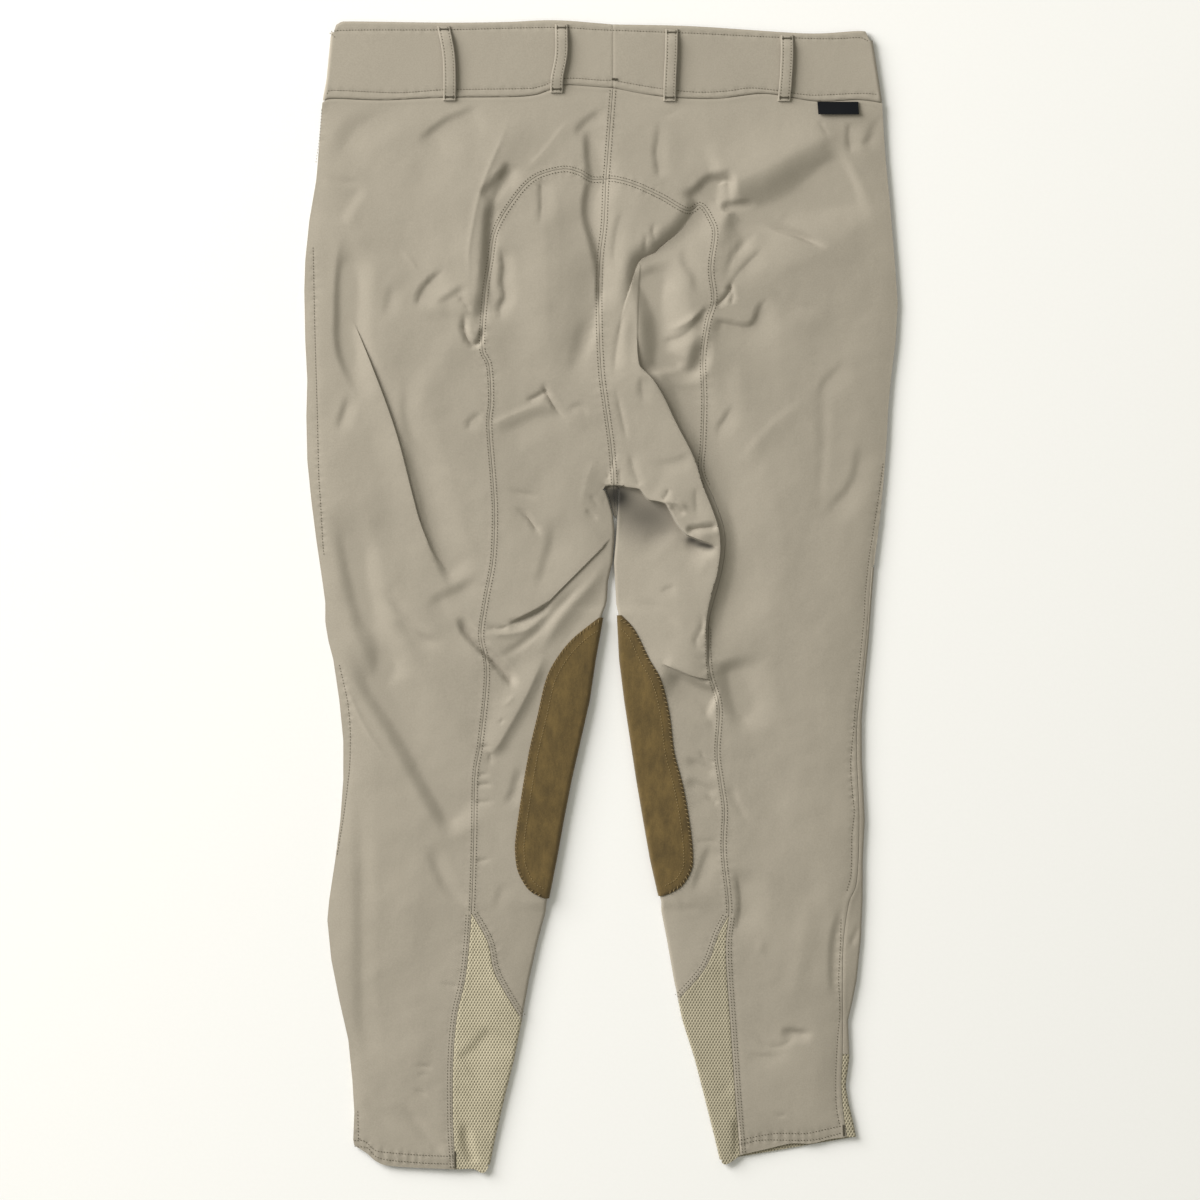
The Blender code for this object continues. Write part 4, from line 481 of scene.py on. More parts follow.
HEM_ROWS = [
    [(-205, -454), (-197, -454.5), (-188, -462), (-175, -464), (-150, -466), (-121, -467)],
    [(-205, -459), (-195, -460), (-188, -467), (-178, -470), (-150, -472.5), (-121, -473.5)],
    [(117, -453), (145, -448), (170, -448), (185, -445), (199, -442)],
    [(117, -457), (135, -453.5), (175, -453.5), (199, -448)],
]
BAND_ROWS = [
    [(-222, 466), (-219, 471.3), (-130, 472), (-40, 474), (0, 472), (80, 469), (140, 466),
     (190, 464.5), (215, 465.5), (222, 462.8)],
    [(-228, 419), (-222, 421.5), (-170, 419.5), (-130, 422), (-64, 423), (-50, 425),
     (-30, 431.5), (0, 430), (10, 430), (20, 428), (50, 423), (80, 420), (105, 421),
     (125, 423.5), (150, 421), (165, 418.5), (180, 417.5), (215, 419), (229, 418.3)],
]


# Curves and outlines

CURVE_PARTS = 12       # straight parts between two given points
FLAT_TURN = 0.2        # sine of a turn that counts as a corner


def resampled(points, step):
    """Points at an even spacing close to step along a polyline."""
    points = np.asarray(points, float)
    runs = np.hypot(*np.diff(points, axis=0).T)
    along = np.concatenate([[0.0], np.cumsum(runs)])
    count = max(2, int(round(along[-1] / step)) + 1)
    places = np.linspace(0.0, along[-1], count)
    return np.column_stack([np.interp(places, along, points[:, axis]) for axis in (0, 1)])


def smooth(points, step=EDGE_STEP, before=None, after=None):
    """Even points on a Catmull-Rom curve through given points.

    before and after are the points of the curves that it runs on from and into."""
    points = np.asarray(points, float)
    before = 2 * points[0] - points[1] if before is None else before
    after = 2 * points[-1] - points[-2] if after is None else after
    padded = np.vstack([before, points, after])
    t = np.linspace(0.0, 1.0, CURVE_PARTS, endpoint=False)[:, None]
    pieces = []
    for a, b, c, d in zip(padded, padded[1:], padded[2:], padded[3:]):
        pieces.append(0.5 * (2 * b + (c - a) * t + (2 * a - 5 * b + 4 * c - d) * t ** 2
                             + (3 * b - 3 * c + d - a) * t ** 3))
    return resampled(np.vstack(pieces + [points[-1:]]), step)


def long_seam(side, part, step=EDGE_STEP):
    """The arch, seam or calf seam of a leg, which run on into each other."""
    half = HALVES[side]
    before = {"arch": None, "seam": half.arch[-2], "calf": half.seam[-2]}[part]
    after = {"arch": half.seam[1], "seam": half.calf[1], "calf": None}[part]
    return smooth(getattr(half, part), step, before, after)


def beside(points, distance):
    """A curve moved to the left of its direction, or to the right for a negative distance."""
    run = np.gradient(points, axis=0)
    run /= np.hypot(*run.T)[:, None]
    return points + np.column_stack([-run[:, 1], run[:, 0]]) * distance


def x_at(table, y):
    """The x of an outline table at height y."""
    table = np.asarray(table, float)[::-1]
    return np.interp(y, table[:, 1], table[:, 0])


def side_run(table, y_from, y_to, inward=0.0):
    """Points along an outline table between two heights, moved sideways."""
    count = max(2, int(round(abs(y_from - y_to) / EDGE_STEP)) + 1)
    y = np.linspace(y_from, y_to, count)
    return np.column_stack([x_at(table, y) + inward, y])


def inset(corners, gaps):
    """A closed outline with each side moved inwards by its own gap."""
    following = np.roll(corners, -1, axis=0)
    runs = following - corners
    runs /= np.maximum(np.hypot(*runs.T), 1e-6)[:, None]
    inwards = np.column_stack([-runs[:, 1], runs[:, 0]])
    area = np.sum(corners[:, 0] * following[:, 1] - corners[:, 1] * following[:, 0])
    inwards *= np.sign(area)
    moved = corners.copy()
    for i in range(len(corners)):
        before, after = inwards[i - 1], inwards[i]
        turn = before[0] * after[1] - before[1] * after[0]
        if abs(turn) > FLAT_TURN:
            moved[i] += np.linalg.solve(np.array([before, after]), [gaps[i - 1], gaps[i]])
        else:
            moved[i] += (before + after) / np.linalg.norm(before + after) * max(gaps[i - 1], gaps[i])
    return moved


def inside(points, loop):
    """Which points lie inside a closed outline."""
    x, y = points[:, 0], points[:, 1]
    odd = np.zeros(len(points), bool)
    for (ax, ay), (bx, by) in zip(loop, np.roll(loop, -1, axis=0)):
        if ay != by:
            odd ^= ((ay > y) != (by > y)) & (x < (bx - ax) * (y - ay) / (by - ay) + ax)
    return odd


def tree_of(points):
    """A search tree of flat points."""
    tree = KDTree(len(points))
    for i, (x, y) in enumerate(points):
        tree.insert((x, y, 0.0), i)
    tree.balance()
    return tree


def clear_of(points, others, distance):
    """The points that keep a distance from every other point."""
    if not len(points) or not len(others):
        return points
    tree = tree_of(others)
    keep = [tree.find((x, y, 0.0))[2] > distance for x, y in points]
    return points[np.array(keep)]


def seam_line(name, step=EDGE_STEP):
    """A named seam's curve."""
    if name in SEAMS:
        return smooth(SEAMS[name], step)
    return long_seam(*name.split(), step)


def shown(name, line):
    """The runs of a seam's line that no fold covers."""
    if name not in HIDDEN:
        return [line]
    low, high = HIDDEN[name]
    return [line[line[:, 1] > high], line[line[:, 1] < low]]


def rows_by_seams(step=EDGE_STEP):
    """The rows of stitches on both sides of the long seams and the arches."""
    return [run for name, offsets in SEAM_ROWS for away in offsets
            for run in shown(name, beside(seam_line(name, step), away))]


class Lines:
    """Curves that are searched for the one nearest to each point."""

    def __init__(self, curves):
        self.start = np.vstack([curve[:-1] for curve in curves])
        self.run = np.vstack([np.diff(curve, axis=0) for curve in curves])
        self.along = np.concatenate([np.cumsum(np.hypot(*np.diff(c, axis=0).T)) for c in curves])
        self.tree = tree_of(self.start + 0.5 * self.run)

    def near(self, x, y):
        """Each point's distance to the nearest curve, and how far along that curve it is."""
        hit = np.array([self.tree.find((a, b, 0.0))[1] for a, b in zip(x, y)])
        length = np.hypot(*self.run[hit].T)
        across = x - self.start[hit, 0], y - self.start[hit, 1]
        share = (across[0] * self.run[hit, 0] + across[1] * self.run[hit, 1]) / length ** 2
        share = np.clip(share, 0.0, 1.0)
        away = np.hypot(across[0] - share * self.run[hit, 0], across[1] - share * self.run[hit, 1])
        return away, self.along[hit]


# The back's form

def ease(share):
    """A smooth step from 0 to 1."""
    share = np.clip(share, 0.0, 1.0)
    return share * share * (3 - 2 * share)


def across(x, y, path):
    """Each point's distance to a path, positive on its left, and its share of the way along."""
    path = smooth(path, 3.0)
    start, run = path[:-1], np.diff(path, axis=0)
    length = np.hypot(*run.T)
    along = np.concatenate([[0.0], np.cumsum(length)])
    px, py = x[:, None] - start[:, 0], y[:, None] - start[:, 1]
    share = np.clip((px * run[:, 0] + py * run[:, 1]) / length ** 2, 0.0, 1.0)
    off_x, off_y = px - share * run[:, 0], py - share * run[:, 1]
    distance = np.hypot(off_x, off_y)
    nearest = distance.argmin(axis=1)
    rows = np.arange(len(x))
    cross = run[nearest, 0] * off_y[rows, nearest] - run[nearest, 1] * off_x[rows, nearest]
    place = (along[nearest] + share[rows, nearest] * length[nearest]) / along[-1]
    return np.where(cross > 0, 1.0, -1.0) * distance[rows, nearest], place


def bell(distance, width):
    """1 on a line, fading away over a width on both sides of it."""
    return np.exp(-(distance / width) ** 2)


def risen(distance, reach):
    """0 at an edge, and nearing 1 past its reach."""
    return 1 - np.exp(-distance / reach)


def faded(place, fade):
    """1 along a path and 0 at its ends."""
    return ease(np.clip(place / fade[0], 0, 1) * np.clip((1 - place) / fade[1], 0, 1))


def fold_height(x, y, fold):
    """The height that one fold adds at each point. ratio is 0 on its path and 1 at its foot."""
    reach, place = across(x, y, fold.path)
    ratio = np.clip(np.abs(reach) / np.where(reach > 0, fold.left, fold.right), 0.0, 1.0)
    soft = (1 - ratio) ** 2 * (1 + 1.6 * ratio)
    steep = (1 - ratio ** 2) * (1 - ratio ** 8)
    sharp = (1 - ratio) ** 2
    forms = [np.where(reach > 0, "left" in sides, "right" in sides) for sides in (fold.steep, fold.sharp)]
    return fold.height * faded(place, fold.fade) * np.select(forms, [steep, sharp], soft)


def lap_height(x, y, lap):
    """The height that one lapped edge, which is rounded over, adds at each point."""
    reach, place = across(x, y, lap.path)
    above = np.clip(reach / lap.over_width, 0.0, 1.0)
    below = np.clip(-reach / lap.under_width, 0.0, 1.0)
    rounded = 1 - 0.12 * np.exp(-np.maximum(reach, 0) / 0.9)
    over = lap.over * (1 - above) ** 2 * (1 + 1.2 * above) * rounded
    return faded(place, lap.fade) * np.where(reach > 0, over, -lap.under * (1 - below) ** 2)


def patch_share(y):
    """1 beside the knee patches and 0 elsewhere along the leg."""
    high, low, run = -6, -264, 10
    return ease(np.clip((high - y) / run, 0, 1) * np.clip((y - low) / run, 0, 1))


def low_at(y, suede):
    """Height of an inner leg panel's underside, which lies on the knee patch."""
    return (suede + SEAM) * patch_share(y)


def soft_noise(shape, grain, seed):
    """An even field of soft lumps, grain pixels across, from -1 to 1 or so."""
    white = np.random.default_rng(seed).normal(size=shape)
    v, u = np.fft.fftfreq(shape[0])[:, None], np.fft.rfftfreq(shape[1])[None]
    field = np.fft.irfft2(np.fft.rfft2(white) * np.exp(-((u ** 2 + v ** 2) * (2.2 * grain) ** 2)), shape)
    return field / (2.0 * field.std())


class Relief:
    """Height of the back's outer face, worked out once on a 1 mm grid, and the detail by the sewing."""

    LOW = (-262.0, -496.0)   # the grid's lower left corner
    SIZE = (524, 992)
    PART_X = 10.5            # between the legs
    SIDE_REACH = 9.0         # how far in from an edge the cloth lies down and can't fold much
    FOLD_REACH = 16.0
    WAIST_REACH = 25.0
    PUFF_SIDE_REACH = 14.0   # how far in from an edge the back's puff begins
    PUFF_HEM_REACH = 16.0
    FOLD_FALL = 30.0         # over this the height of an inner fold gives way to that of the side
    PATCH_FALL = 60.0        # over this the floor drops from the knee patch to what lies beside it
    LUMPS = ((0.75, 26, 3), (0.16, 9, 5))   # height, grain and seed of the soft lumps
    FLOOR_ROUND = 0.3        # how softly a deep fold comes to rest on what is under it
    CREASE_STEPS = (-0.3, 0.3, -1.2, 1.2, -2.2, 2.2)   # lines of points beside a lapped edge
    CREASE_WIDTH = 4         # folds that fall within this get lines of points too

    def __init__(self, suede, unevenness):
        self.suede = suede
        x = self.LOW[0] + np.arange(self.SIZE[0])
        y = self.LOW[1] + np.arange(self.SIZE[1])
        self.grid = self.broad(*np.meshgrid(x, y), unevenness)
        self.slope_y, self.slope_x = np.gradient(self.with_laps(*np.meshgrid(x, y)))
        self.creased = [beside(smooth(lap.path, 1.2), away) for lap in LAPS for away in self.CREASE_STEPS]
        narrow = [fold for fold in FOLDS if fold.sharp or min(fold.left, fold.right) <= self.CREASE_WIDTH]
        self.creased += [beside(smooth(fold.path, 1.5), away) for fold in narrow
                         for away in (0.0, 1.3, -1.3)]
        # The side seam runs on round the fold of the side above where it comes into view.
        side_seam = [(231.5, 60), (228, 40)] + RIGHT_SIDE_SEAM
        edges = [smooth(points, FINE_STEP) for points in (WAIST_SEAM, side_seam, RIGHT_PLACKET)]
        self.seams = Lines(edges + [run for name, _ in SEAM_ROWS
                                    for run in shown(name, seam_line(name, FINE_STEP))])
        self.stitching = [smooth(row, FINE_STEP) for row in SIDE_ROWS + HEM_ROWS]
        self.rows = Lines(self.stitching + rows_by_seams(FINE_STEP))

    @staticmethod
    def window(x, y, fold):
        """The part of the grid that a fold or lap reaches."""
        path = np.array(fold.path, float)
        widths = (fold.left, fold.right) if isinstance(fold, Fold) else (fold.over_width, fold.under_width)
        spans = []
        for axis, places in ((1, y[:, 0]), (0, x[0])):
            low, high = path[:, axis].min() - max(widths) - 4, path[:, axis].max() + max(widths) + 4
            near = np.nonzero((places > low) & (places < high))[0]
            spans.append(slice(near[0], near[-1] + 1))
        return tuple(spans)

    def broad(self, x, y, unevenness):
        """The form of the whole back, with its folds, mounds and soft lumps."""
        left = x < np.where(y < CROTCH_Y, self.PART_X, x_at(CENTRE_BACK, y))
        from_side = np.maximum(0.0, np.where(left, x - x_at(LEFT_SIDE, y), x_at(RIGHT_SIDE, y) - x))
        low = np.minimum(y, CROTCH_Y)
        to_fold = np.where(left, x_at(LEFT_INNER, low) - x, x - x_at(RIGHT_INNER, low))
        from_fold = np.where(y > CROTCH_Y, np.hypot(to_fold, y - CROTCH_Y), np.maximum(0.0, to_fold))
        waist = np.asarray(WAIST_SEAM, float)
        from_waist = np.maximum(0.0, np.interp(x, waist[:, 0], waist[:, 1]) - y)
        hem = np.array(LEFT_HEM + LEFT_MESH_HEM[1:] + RIGHT_MESH_HEM + RIGHT_HEM[1:], float)
        from_hem = np.maximum(0.0, y - np.interp(x, hem[:, 0], hem[:, 1]))
        swell = risen(from_side, self.PUFF_SIDE_REACH) * risen(from_hem, self.PUFF_HEM_REACH)
        side = risen(from_side, self.SIDE_REACH)
        fold = risen(from_fold, self.FOLD_REACH)
        belt = risen(from_waist, self.WAIST_REACH)
        under = low_at(y, self.suede)
        height = EDGE_TOP + (WAIST_TOP - EDGE_TOP) * (1 - belt)
        height += (FOLD_TOP + under - EDGE_TOP) * np.exp(-from_fold / self.FOLD_FALL)
        height += PUFF * swell * fold * belt
        # How far folds and laps may stand up: not at all at a side or the waist, a little at a fold
        loose = side * (0.25 + 0.75 * fold) * belt
        self.firm = side * (0.6 + 0.4 * fold) * belt
        self.floor = EDGE_TOP + under * np.exp(-from_fold / self.PATCH_FALL) * 1.1
        self.add(height, x, y, FOLDS, fold_height, loose)
        for row in MOUNDS:
            height += row.height * bell(x - row.x, row.across) * bell(y - row.y, row.along) * loose
        lumps = sum(tall * soft_noise(height.shape, grain, seed) for tall, grain, seed in self.LUMPS)
        return height + unevenness * lumps * loose

    def add(self, height, x, y, rows, form, share):
        """Add the form of each row of a table to a grid of heights, weighed by a share."""
        for row in rows:
            window = self.window(x, y, row)
            part = x[window]
            added = form(part.ravel(), y[window].ravel(), row).reshape(part.shape)
            height[window] += added * share[window]

    def with_laps(self, x, y):
        """The grid with the lapped edges on it."""
        height = self.grid.copy()
        self.add(height, x, y, LAPS, lap_height, self.firm)
        return height

    def sample(self, field, x, y):
        """A grid field between its points."""
        u = np.clip(x - self.LOW[0], 0, self.SIZE[0] - 1.001)
        v = np.clip(y - self.LOW[1], 0, self.SIZE[1] - 1.001)
        i, j = u.astype(int), v.astype(int)
        u, v = u - i, v - j
        return ((field[j, i] * (1 - u) + field[j, i + 1] * u) * (1 - v)
                + (field[j + 1, i] * (1 - u) + field[j + 1, i + 1] * u) * v)

    def height(self, x, y, sewn=True):
        """Height of the outer face, with the seams' grooves and the puckers of the rows."""
        x, y = np.atleast_1d(np.asarray(x, float)), np.atleast_1d(np.asarray(y, float))
        height = self.sample(self.grid, x, y)
        firm = self.sample(self.firm, x, y)
        for lap in LAPS:
            height += lap_height(x, y, lap) * firm
        floor = self.sample(self.floor, x, y)
        excess = height - floor
        height = floor + 0.5 * (excess + np.sqrt(excess ** 2 + self.FLOOR_ROUND))
        if not sewn:
            return height
        seam, _ = self.seams.near(x, y)
        row, along = self.rows.near(x, y)
        height += SEAM_RIDGE * ease((RIDGE_EDGE - seam) / RIDGE_FALL)
        height -= SEAM_GROOVE * bell(seam, SEAM_GROOVE_WIDTH)
        # The ripples are some 7 mm long, of uneven length and strength along the row.
        swell = 0.55 + 0.45 * np.sin(along / 31.0 + 1.3 * np.sin(along / 83.0))
        ripple = np.sin(along / 1.15 + 1.7 * np.sin(along / 9.0))
        height += (PUCKER * swell * ripple - PUCKER_SINK) * bell(row, PUCKER_WIDTH)
        return height - NEEDLE_GROOVE * bell(row, NEEDLE_WIDTH)

    def normal(self, x, y):
        """Outward direction of the back."""
        slopes = np.column_stack([self.sample(self.slope_x, x, y), self.sample(self.slope_y, x, y)])
        steep = np.maximum(1.0, np.hypot(*slopes.T))[:, None]
        normal = np.column_stack([-slopes / steep, np.ones(len(slopes))])
        return normal / np.linalg.norm(normal, axis=1)[:, None]

    def on_back(self, x, y):
        """Form of a panel of the back."""
        return np.column_stack([x, y, self.height(x, y)]), self.normal(x, y)

    def top(self, place):
        """Height of the outer face at one place."""
        return float(self.height(place[:1], place[1:])[0])

    def inwards(self, start, end_x, parts):
        """Points over the back from a side's turn to its seam, each with its outward direction."""
        x = start[0] + (end_x - start[0]) * np.array(parts)
        return list(zip(*self.on_back(x, np.full_like(x, start[1]))))


UP = (0.0, 0.0, 1.0)
DOWN = (0.0, 0.0, -1.0)


def on_floor(x, y):
    """Form of a panel of the front, which lies flat."""
    return np.column_stack([x, y, np.zeros_like(x)]), np.tile(DOWN, (len(x), 1))


# Shells: points with outward directions, and triangles

class Shell:
    """One cut piece of cloth, gathered from flat-filled sheets and strips round the folds."""

    RINGS = (0.7, 1.4, 2.3, 3.2, 4.4)   # extra lines of points along a sewn edge
    APART = 0.7          # least distance between the points of two lines
    CREASE_APART = 0.45
    ROW_SIDE = 1.1       # from a row of stitches to the lines of points on both sides of it
    LINE_PITCH = 0.866   # between the lines of the filling, as a share of the cell
    FILL_APART = 0.62    # least distance from the filling to the lines, as a share of the cell
    KEEP_INSIDE = 1      # the triangulation leaves out what lies outside the outline
    MERGE = 1e-4         # points nearer than this count as one

    def __init__(self):
        self.points, self.normals, self.faces, self.marked = [], [], [], []
        self.places = {}

    def point(self, place, normal):
        """The number of a point, which is added if it is new."""
        key = (round(float(place[0]), 3), round(float(place[1]), 3), round(float(place[2]), 3))
        if key not in self.places:
            self.places[key] = len(self.points)
            self.points.append(tuple(map(float, place)))
            self.normals.append(tuple(map(float, normal)))
        return self.places[key]

    def spread(self, loop, chain, cell, rows, edges, ringed):
        """Points over an outline: along its edges, its chain, the creases and the rows, then evenly."""
        flat = np.vstack([loop, chain])

        def joined(line, apart):
            """The points so far, and those of a line that lie inside and clear of them."""
            return np.vstack([flat, clear_of(line[inside(line, loop)], flat, apart)])

        for ring in self.RINGS if ringed else ():
            line = inset(loop, np.full(len(loop), ring))
            flat = joined(clear_of(line, loop, 0.8 * ring), self.APART)
            if len(chain):
                flat = joined(np.vstack([beside(chain, ring), beside(chain, -ring)]), self.APART)
        for line in edges:
            flat = joined(line, self.CREASE_APART)
        for row in rows:
            both = beside(row, self.ROW_SIDE), beside(row, -self.ROW_SIDE)
            flat = joined(np.vstack([row, *both]), self.APART)
        low, high = loop.min(axis=0), loop.max(axis=0)
        lines = np.arange(low[1], high[1], cell * self.LINE_PITCH)
        grid = np.array([(x + (0.5 * cell if i % 2 else 0.0), y) for i, y in enumerate(lines)
                         for x in np.arange(low[0], high[0], cell)])
        return joined(grid, self.FILL_APART * cell)

    def sheet(self, sides, form, cell, chain=(), rows=(), edges=(), ringed=True):
        """Fill an outline. sides are (points, gap) runs and form gives heights and directions.

        Points follow the chain, whose edges are kept, the rows of stitches and the creases."""
        corners, gaps = [], []
        for run, gap in sides:
            corners.extend(run[:-1])
            gaps.extend([gap] * (len(run) - 1))
        loop = inset(np.array(corners), np.array(gaps))
        chain = np.asarray(chain, float).reshape(-1, 2)
        flat = self.spread(loop, chain, cell, rows, edges, ringed)
        links, within = [(len(loop) + i, len(loop) + i + 1) for i in range(len(chain) - 1)], None
        if len(chain):
            # The chain's ends join the outline, and the triangles between the two are marked.
            ends = [int(np.hypot(*(loop - end).T).argmin()) for end in (chain[0], chain[-1])]
            links += [(ends[0], len(loop)), (len(loop) + len(chain) - 1, ends[1])]
            span = np.arange(min(ends), max(ends) + 1)
            within = np.vstack([loop[span], chain if ends[0] == max(ends) else chain[::-1]])
        result = delaunay_2d_cdt([Vector(p) for p in flat], links, [list(range(len(loop)))],
                                 self.KEEP_INSIDE, self.MERGE)
        made = np.array([tuple(v) for v in result[0]])
        places, normals = form(made[:, 0], made[:, 1])
        index = [self.point(place, normal) for place, normal in zip(places, normals)]
        middles = made[np.array([tuple(face) for face in result[2]])].mean(axis=1)
        marks = inside(middles, within) if within is not None else np.zeros(len(middles), bool)
        self.faces += [(index[a], index[b], index[c]) for a, b, c in result[2]]
        self.marked += [bool(within_chain) for within_chain in marks]
        return loop

    def strip(self, rows, marks=None):
        """Join rows of (place, normal) points into a strip of triangles."""
        index = [[self.point(place, normal) for place, normal in row] for row in rows]
        for k in range(len(rows) - 1):
            for j in range(len(rows[0]) - 1):
                a, b = index[k][j:j + 2]
                d, c = index[k + 1][j:j + 2]
                self.faces += [(a, b, c), (a, c, d)]
                self.marked += [bool(marks and marks[k][j])] * 2

    def solid(self, name, wall, material, lift=0.0, marked_only=False):
        """Close the shell with an inner face, wall deep, and add it as an object.

        lift raises the shell, by a distance or by a function of its points."""
        faces, marked = np.array(self.faces), np.array(self.marked)
        points, normals = np.array(self.points), np.array(self.normals)
        whole = (faces[:, 0] != faces[:, 1]) & (faces[:, 1] != faces[:, 2]) & (faces[:, 2] != faces[:, 0])
        faces = faces[whole & (marked | (not marked_only))]
        a, b, c = (points[faces[:, k]] for k in range(3))
        facing = np.einsum("ij,ij->i", np.cross(b - a, c - a), normals[faces].sum(axis=1))
        faces[facing < 0] = faces[facing < 0][:, ::-1]
        used, numbers = np.unique(faces, return_inverse=True)
        faces = numbers.reshape(faces.shape)
        raised = lift(points[used]) if callable(lift) else np.full(len(used), lift)
        outer = points[used] + normals[used] * raised[:, None]
        inner = points[used] + normals[used] * (raised.min() - wall)
        count = len(used)
        edges = np.vstack([faces[:, [0, 1]], faces[:, [1, 2]], faces[:, [2, 0]]])
        # The rim's edges have a triangle on one side alone.
        codes = edges[:, 0].astype(np.int64) * count + edges[:, 1]
        back = edges[:, 1].astype(np.int64) * count + edges[:, 0]
        rim = edges[~np.isin(codes, back)]
        walls = np.vstack([np.column_stack([rim[:, 1], rim[:, 0], rim[:, 0] + count]),
                           np.column_stack([rim[:, 1], rim[:, 0] + count, rim[:, 1] + count])])
        closed = np.vstack([faces, faces[:, ::-1] + count, walls])
        return add_mesh(name + FINISHED, np.vstack([outer, inner]), closed, material)


def placed(name, data):
    """Add data to the scene as an object."""
    made = bpy.data.objects.new(name, data)
    bpy.context.scene.collection.objects.link(made)
    return made


SHARP_ANGLE = 1.0      # radians between two faces that don't shade as one


def add_mesh(name, points, faces, material):
    """Add triangles as a smooth-shaded object in the frame."""
    mesh = bpy.data.meshes.new(name)
    mesh.vertices.add(len(points))
    mesh.vertices.foreach_set("co", (np.asarray(points) * MM).ravel())
    mesh.loops.add(3 * len(faces))
    mesh.loops.foreach_set("vertex_index", np.asarray(faces).ravel())
    mesh.polygons.add(len(faces))
    mesh.polygons.foreach_set("loop_start", np.arange(0, 3 * len(faces), 3))
    mesh.update(calc_edges=True)
    mesh.validate()
    mesh.materials.append(material)
    mesh.shade_smooth()
    mesh.set_sharp_from_angle(angle=SHARP_ANGLE)
    made = placed(name, mesh)
    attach(made, "root")
    return made


TURNS = 8              # parts in the turn of a fold


def arc_row(start, outward, low, top):
    """Points round a fold, from its top start point down to the underside."""
    radius = (top - low) / 2
    row = []
    for angle in np.linspace(0.0, np.pi, TURNS + 1):
        across, up = np.sin(angle), np.cos(angle)
        place = (start[0] + outward * radius * across, start[1], low + radius + radius * up)
        row.append((place, (outward * across, 0.0, up)))
    return row


def front_drop(half, away):
    """How far the front's mesh seam falls over a distance from the inner fold."""
    fold_x, fold_y = half.mesh_top[-1]
    side_x = float(x_at(half.edge, MESH_SIDE_Y))
    return away * (fold_y - MESH_SIDE_Y) / abs(side_x - fold_x)


def fold_line(relief, table, outward, y_values, lift=True):
    """Where the flat back gives way to the turn of a fold, for each height.

    lift makes room for the knee patch, which goes round the inner folds alone."""
    edge = x_at(table, y_values)
    low = low_at(y_values, relief.suede) if lift else np.zeros_like(y_values)
    trim = low if lift else 0.0
    near = edge - outward * (3.0 + trim)
    radius = (relief.height(near, y_values, sewn=False) - low) / 2
    return np.column_stack([edge - outward * (radius + trim), y_values])


def waist_parts():
    """The waist seam and top edge in their left and right halves."""
    centre = CENTRE_BACK[0][0]
    return [[smooth([p for p in table if p[0] <= centre]), smooth([p for p in table if p[0] >= centre])]
            for table in (WAIST_SEAM, WAIST_TOP_EDGE)]


# Materials

def linear(code, alpha=1.0):
    """The linear colour of an sRGB hex value."""
    values = [int(code[i:i + 2], 16) / 255 for i in (1, 3, 5)]
    return tuple(v / 12.92 if v <= 0.04045 else ((v + 0.055) / 1.055) ** 2.4 for v in values) + (alpha,)


def put(tree, kind, inputs=None, stops=(), **settings):
    """Add a node with its properties, its ramp's (place, colour) stops, and a value or a socket
    for each input."""
    made = tree.nodes.new(kind)
    for key, value in settings.items():
        setattr(made, key, value)
    for number, (place, colour) in enumerate(stops):
        held = made.color_ramp.elements
        element = held[number] if number < len(held) else held.new(place)
        element.position, element.color = place, colour
    for key, value in (inputs or {}).items():
        if isinstance(value, bpy.types.NodeSocket):
            tree.links.new(value, made.inputs[key])
        else:
            made.inputs[key].default_value = value
    return made


def noise(tree, place, scale, **inputs):
    """Soft noise, with so many lumps to the metre."""
    return put(tree, "ShaderNodeTexNoise", {"Vector": place, "Scale": scale, **inputs}).outputs["Fac"]


def ramp(tree, value, *stops):
    """The colour for a value, between (place, colour) stops."""
    return put(tree, "ShaderNodeValToRGB", {"Fac": value}, stops).outputs["Color"]


def grey(red, green=None, blue=None):
    """A colour near grey, as shares of the light that it gives back."""
    return red, red if green is None else green, red if blue is None else blue, 1.0


def times(tree, one, other):
    """One colour multiplied by another."""
    return put(tree, "ShaderNodeMix", {0: 1.0, 6: one, 7: other}, data_type="RGBA",
               blend_type="MULTIPLY").outputs[2]


def bumped(tree, height, strength, distance, **inputs):
    """The surface's direction with a height on it."""
    return put(tree, "ShaderNodeBump", {"Height": height, "Strength": strength, "Distance": distance,
                                        **inputs}).outputs["Normal"]


def carried(tree, name):
    """A value that the vertices of a piece carry."""
    return put(tree, "ShaderNodeAttribute", attribute_name=name).outputs["Fac"]


def math_of(tree, operation, one, other=0.5):
    """The result of a sum with one or two values or sockets."""
    return put(tree, "ShaderNodeMath", {0: one, 1: other}, operation=operation).outputs[0]


def finish_of(name, **values):
    """An empty material with the constant values set: it, its node tree, its shader and the place."""
    material = bpy.data.materials.new(name)
    material.use_nodes = True
    tree = material.node_tree
    shader = tree.nodes["Principled BSDF"]
    for key, value in values.items():
        shader.inputs[key.replace("_", " ")].default_value = value
    return material, tree, shader, put(tree, "ShaderNodeTexCoord").outputs["Object"]


def surfaced(tree, shader, colour, normal=None):
    """Give a shader its colour and the direction of its surface."""
    tree.links.new(colour, shader.inputs["Base Color"])
    if normal is not None:
        tree.links.new(normal, shader.inputs["Normal"])


def tinted(colour, share):
    """A colour made lighter or darker by a share."""
    return tuple(min(1.0, c * share) for c in tuple(colour)[:3]) + (1.0,)


def wave_scale(pitch):
    """The scale at which a wave texture's bands are a pitch in millimetres apart."""
    return 2 * math.pi / (20 * pitch * MM)


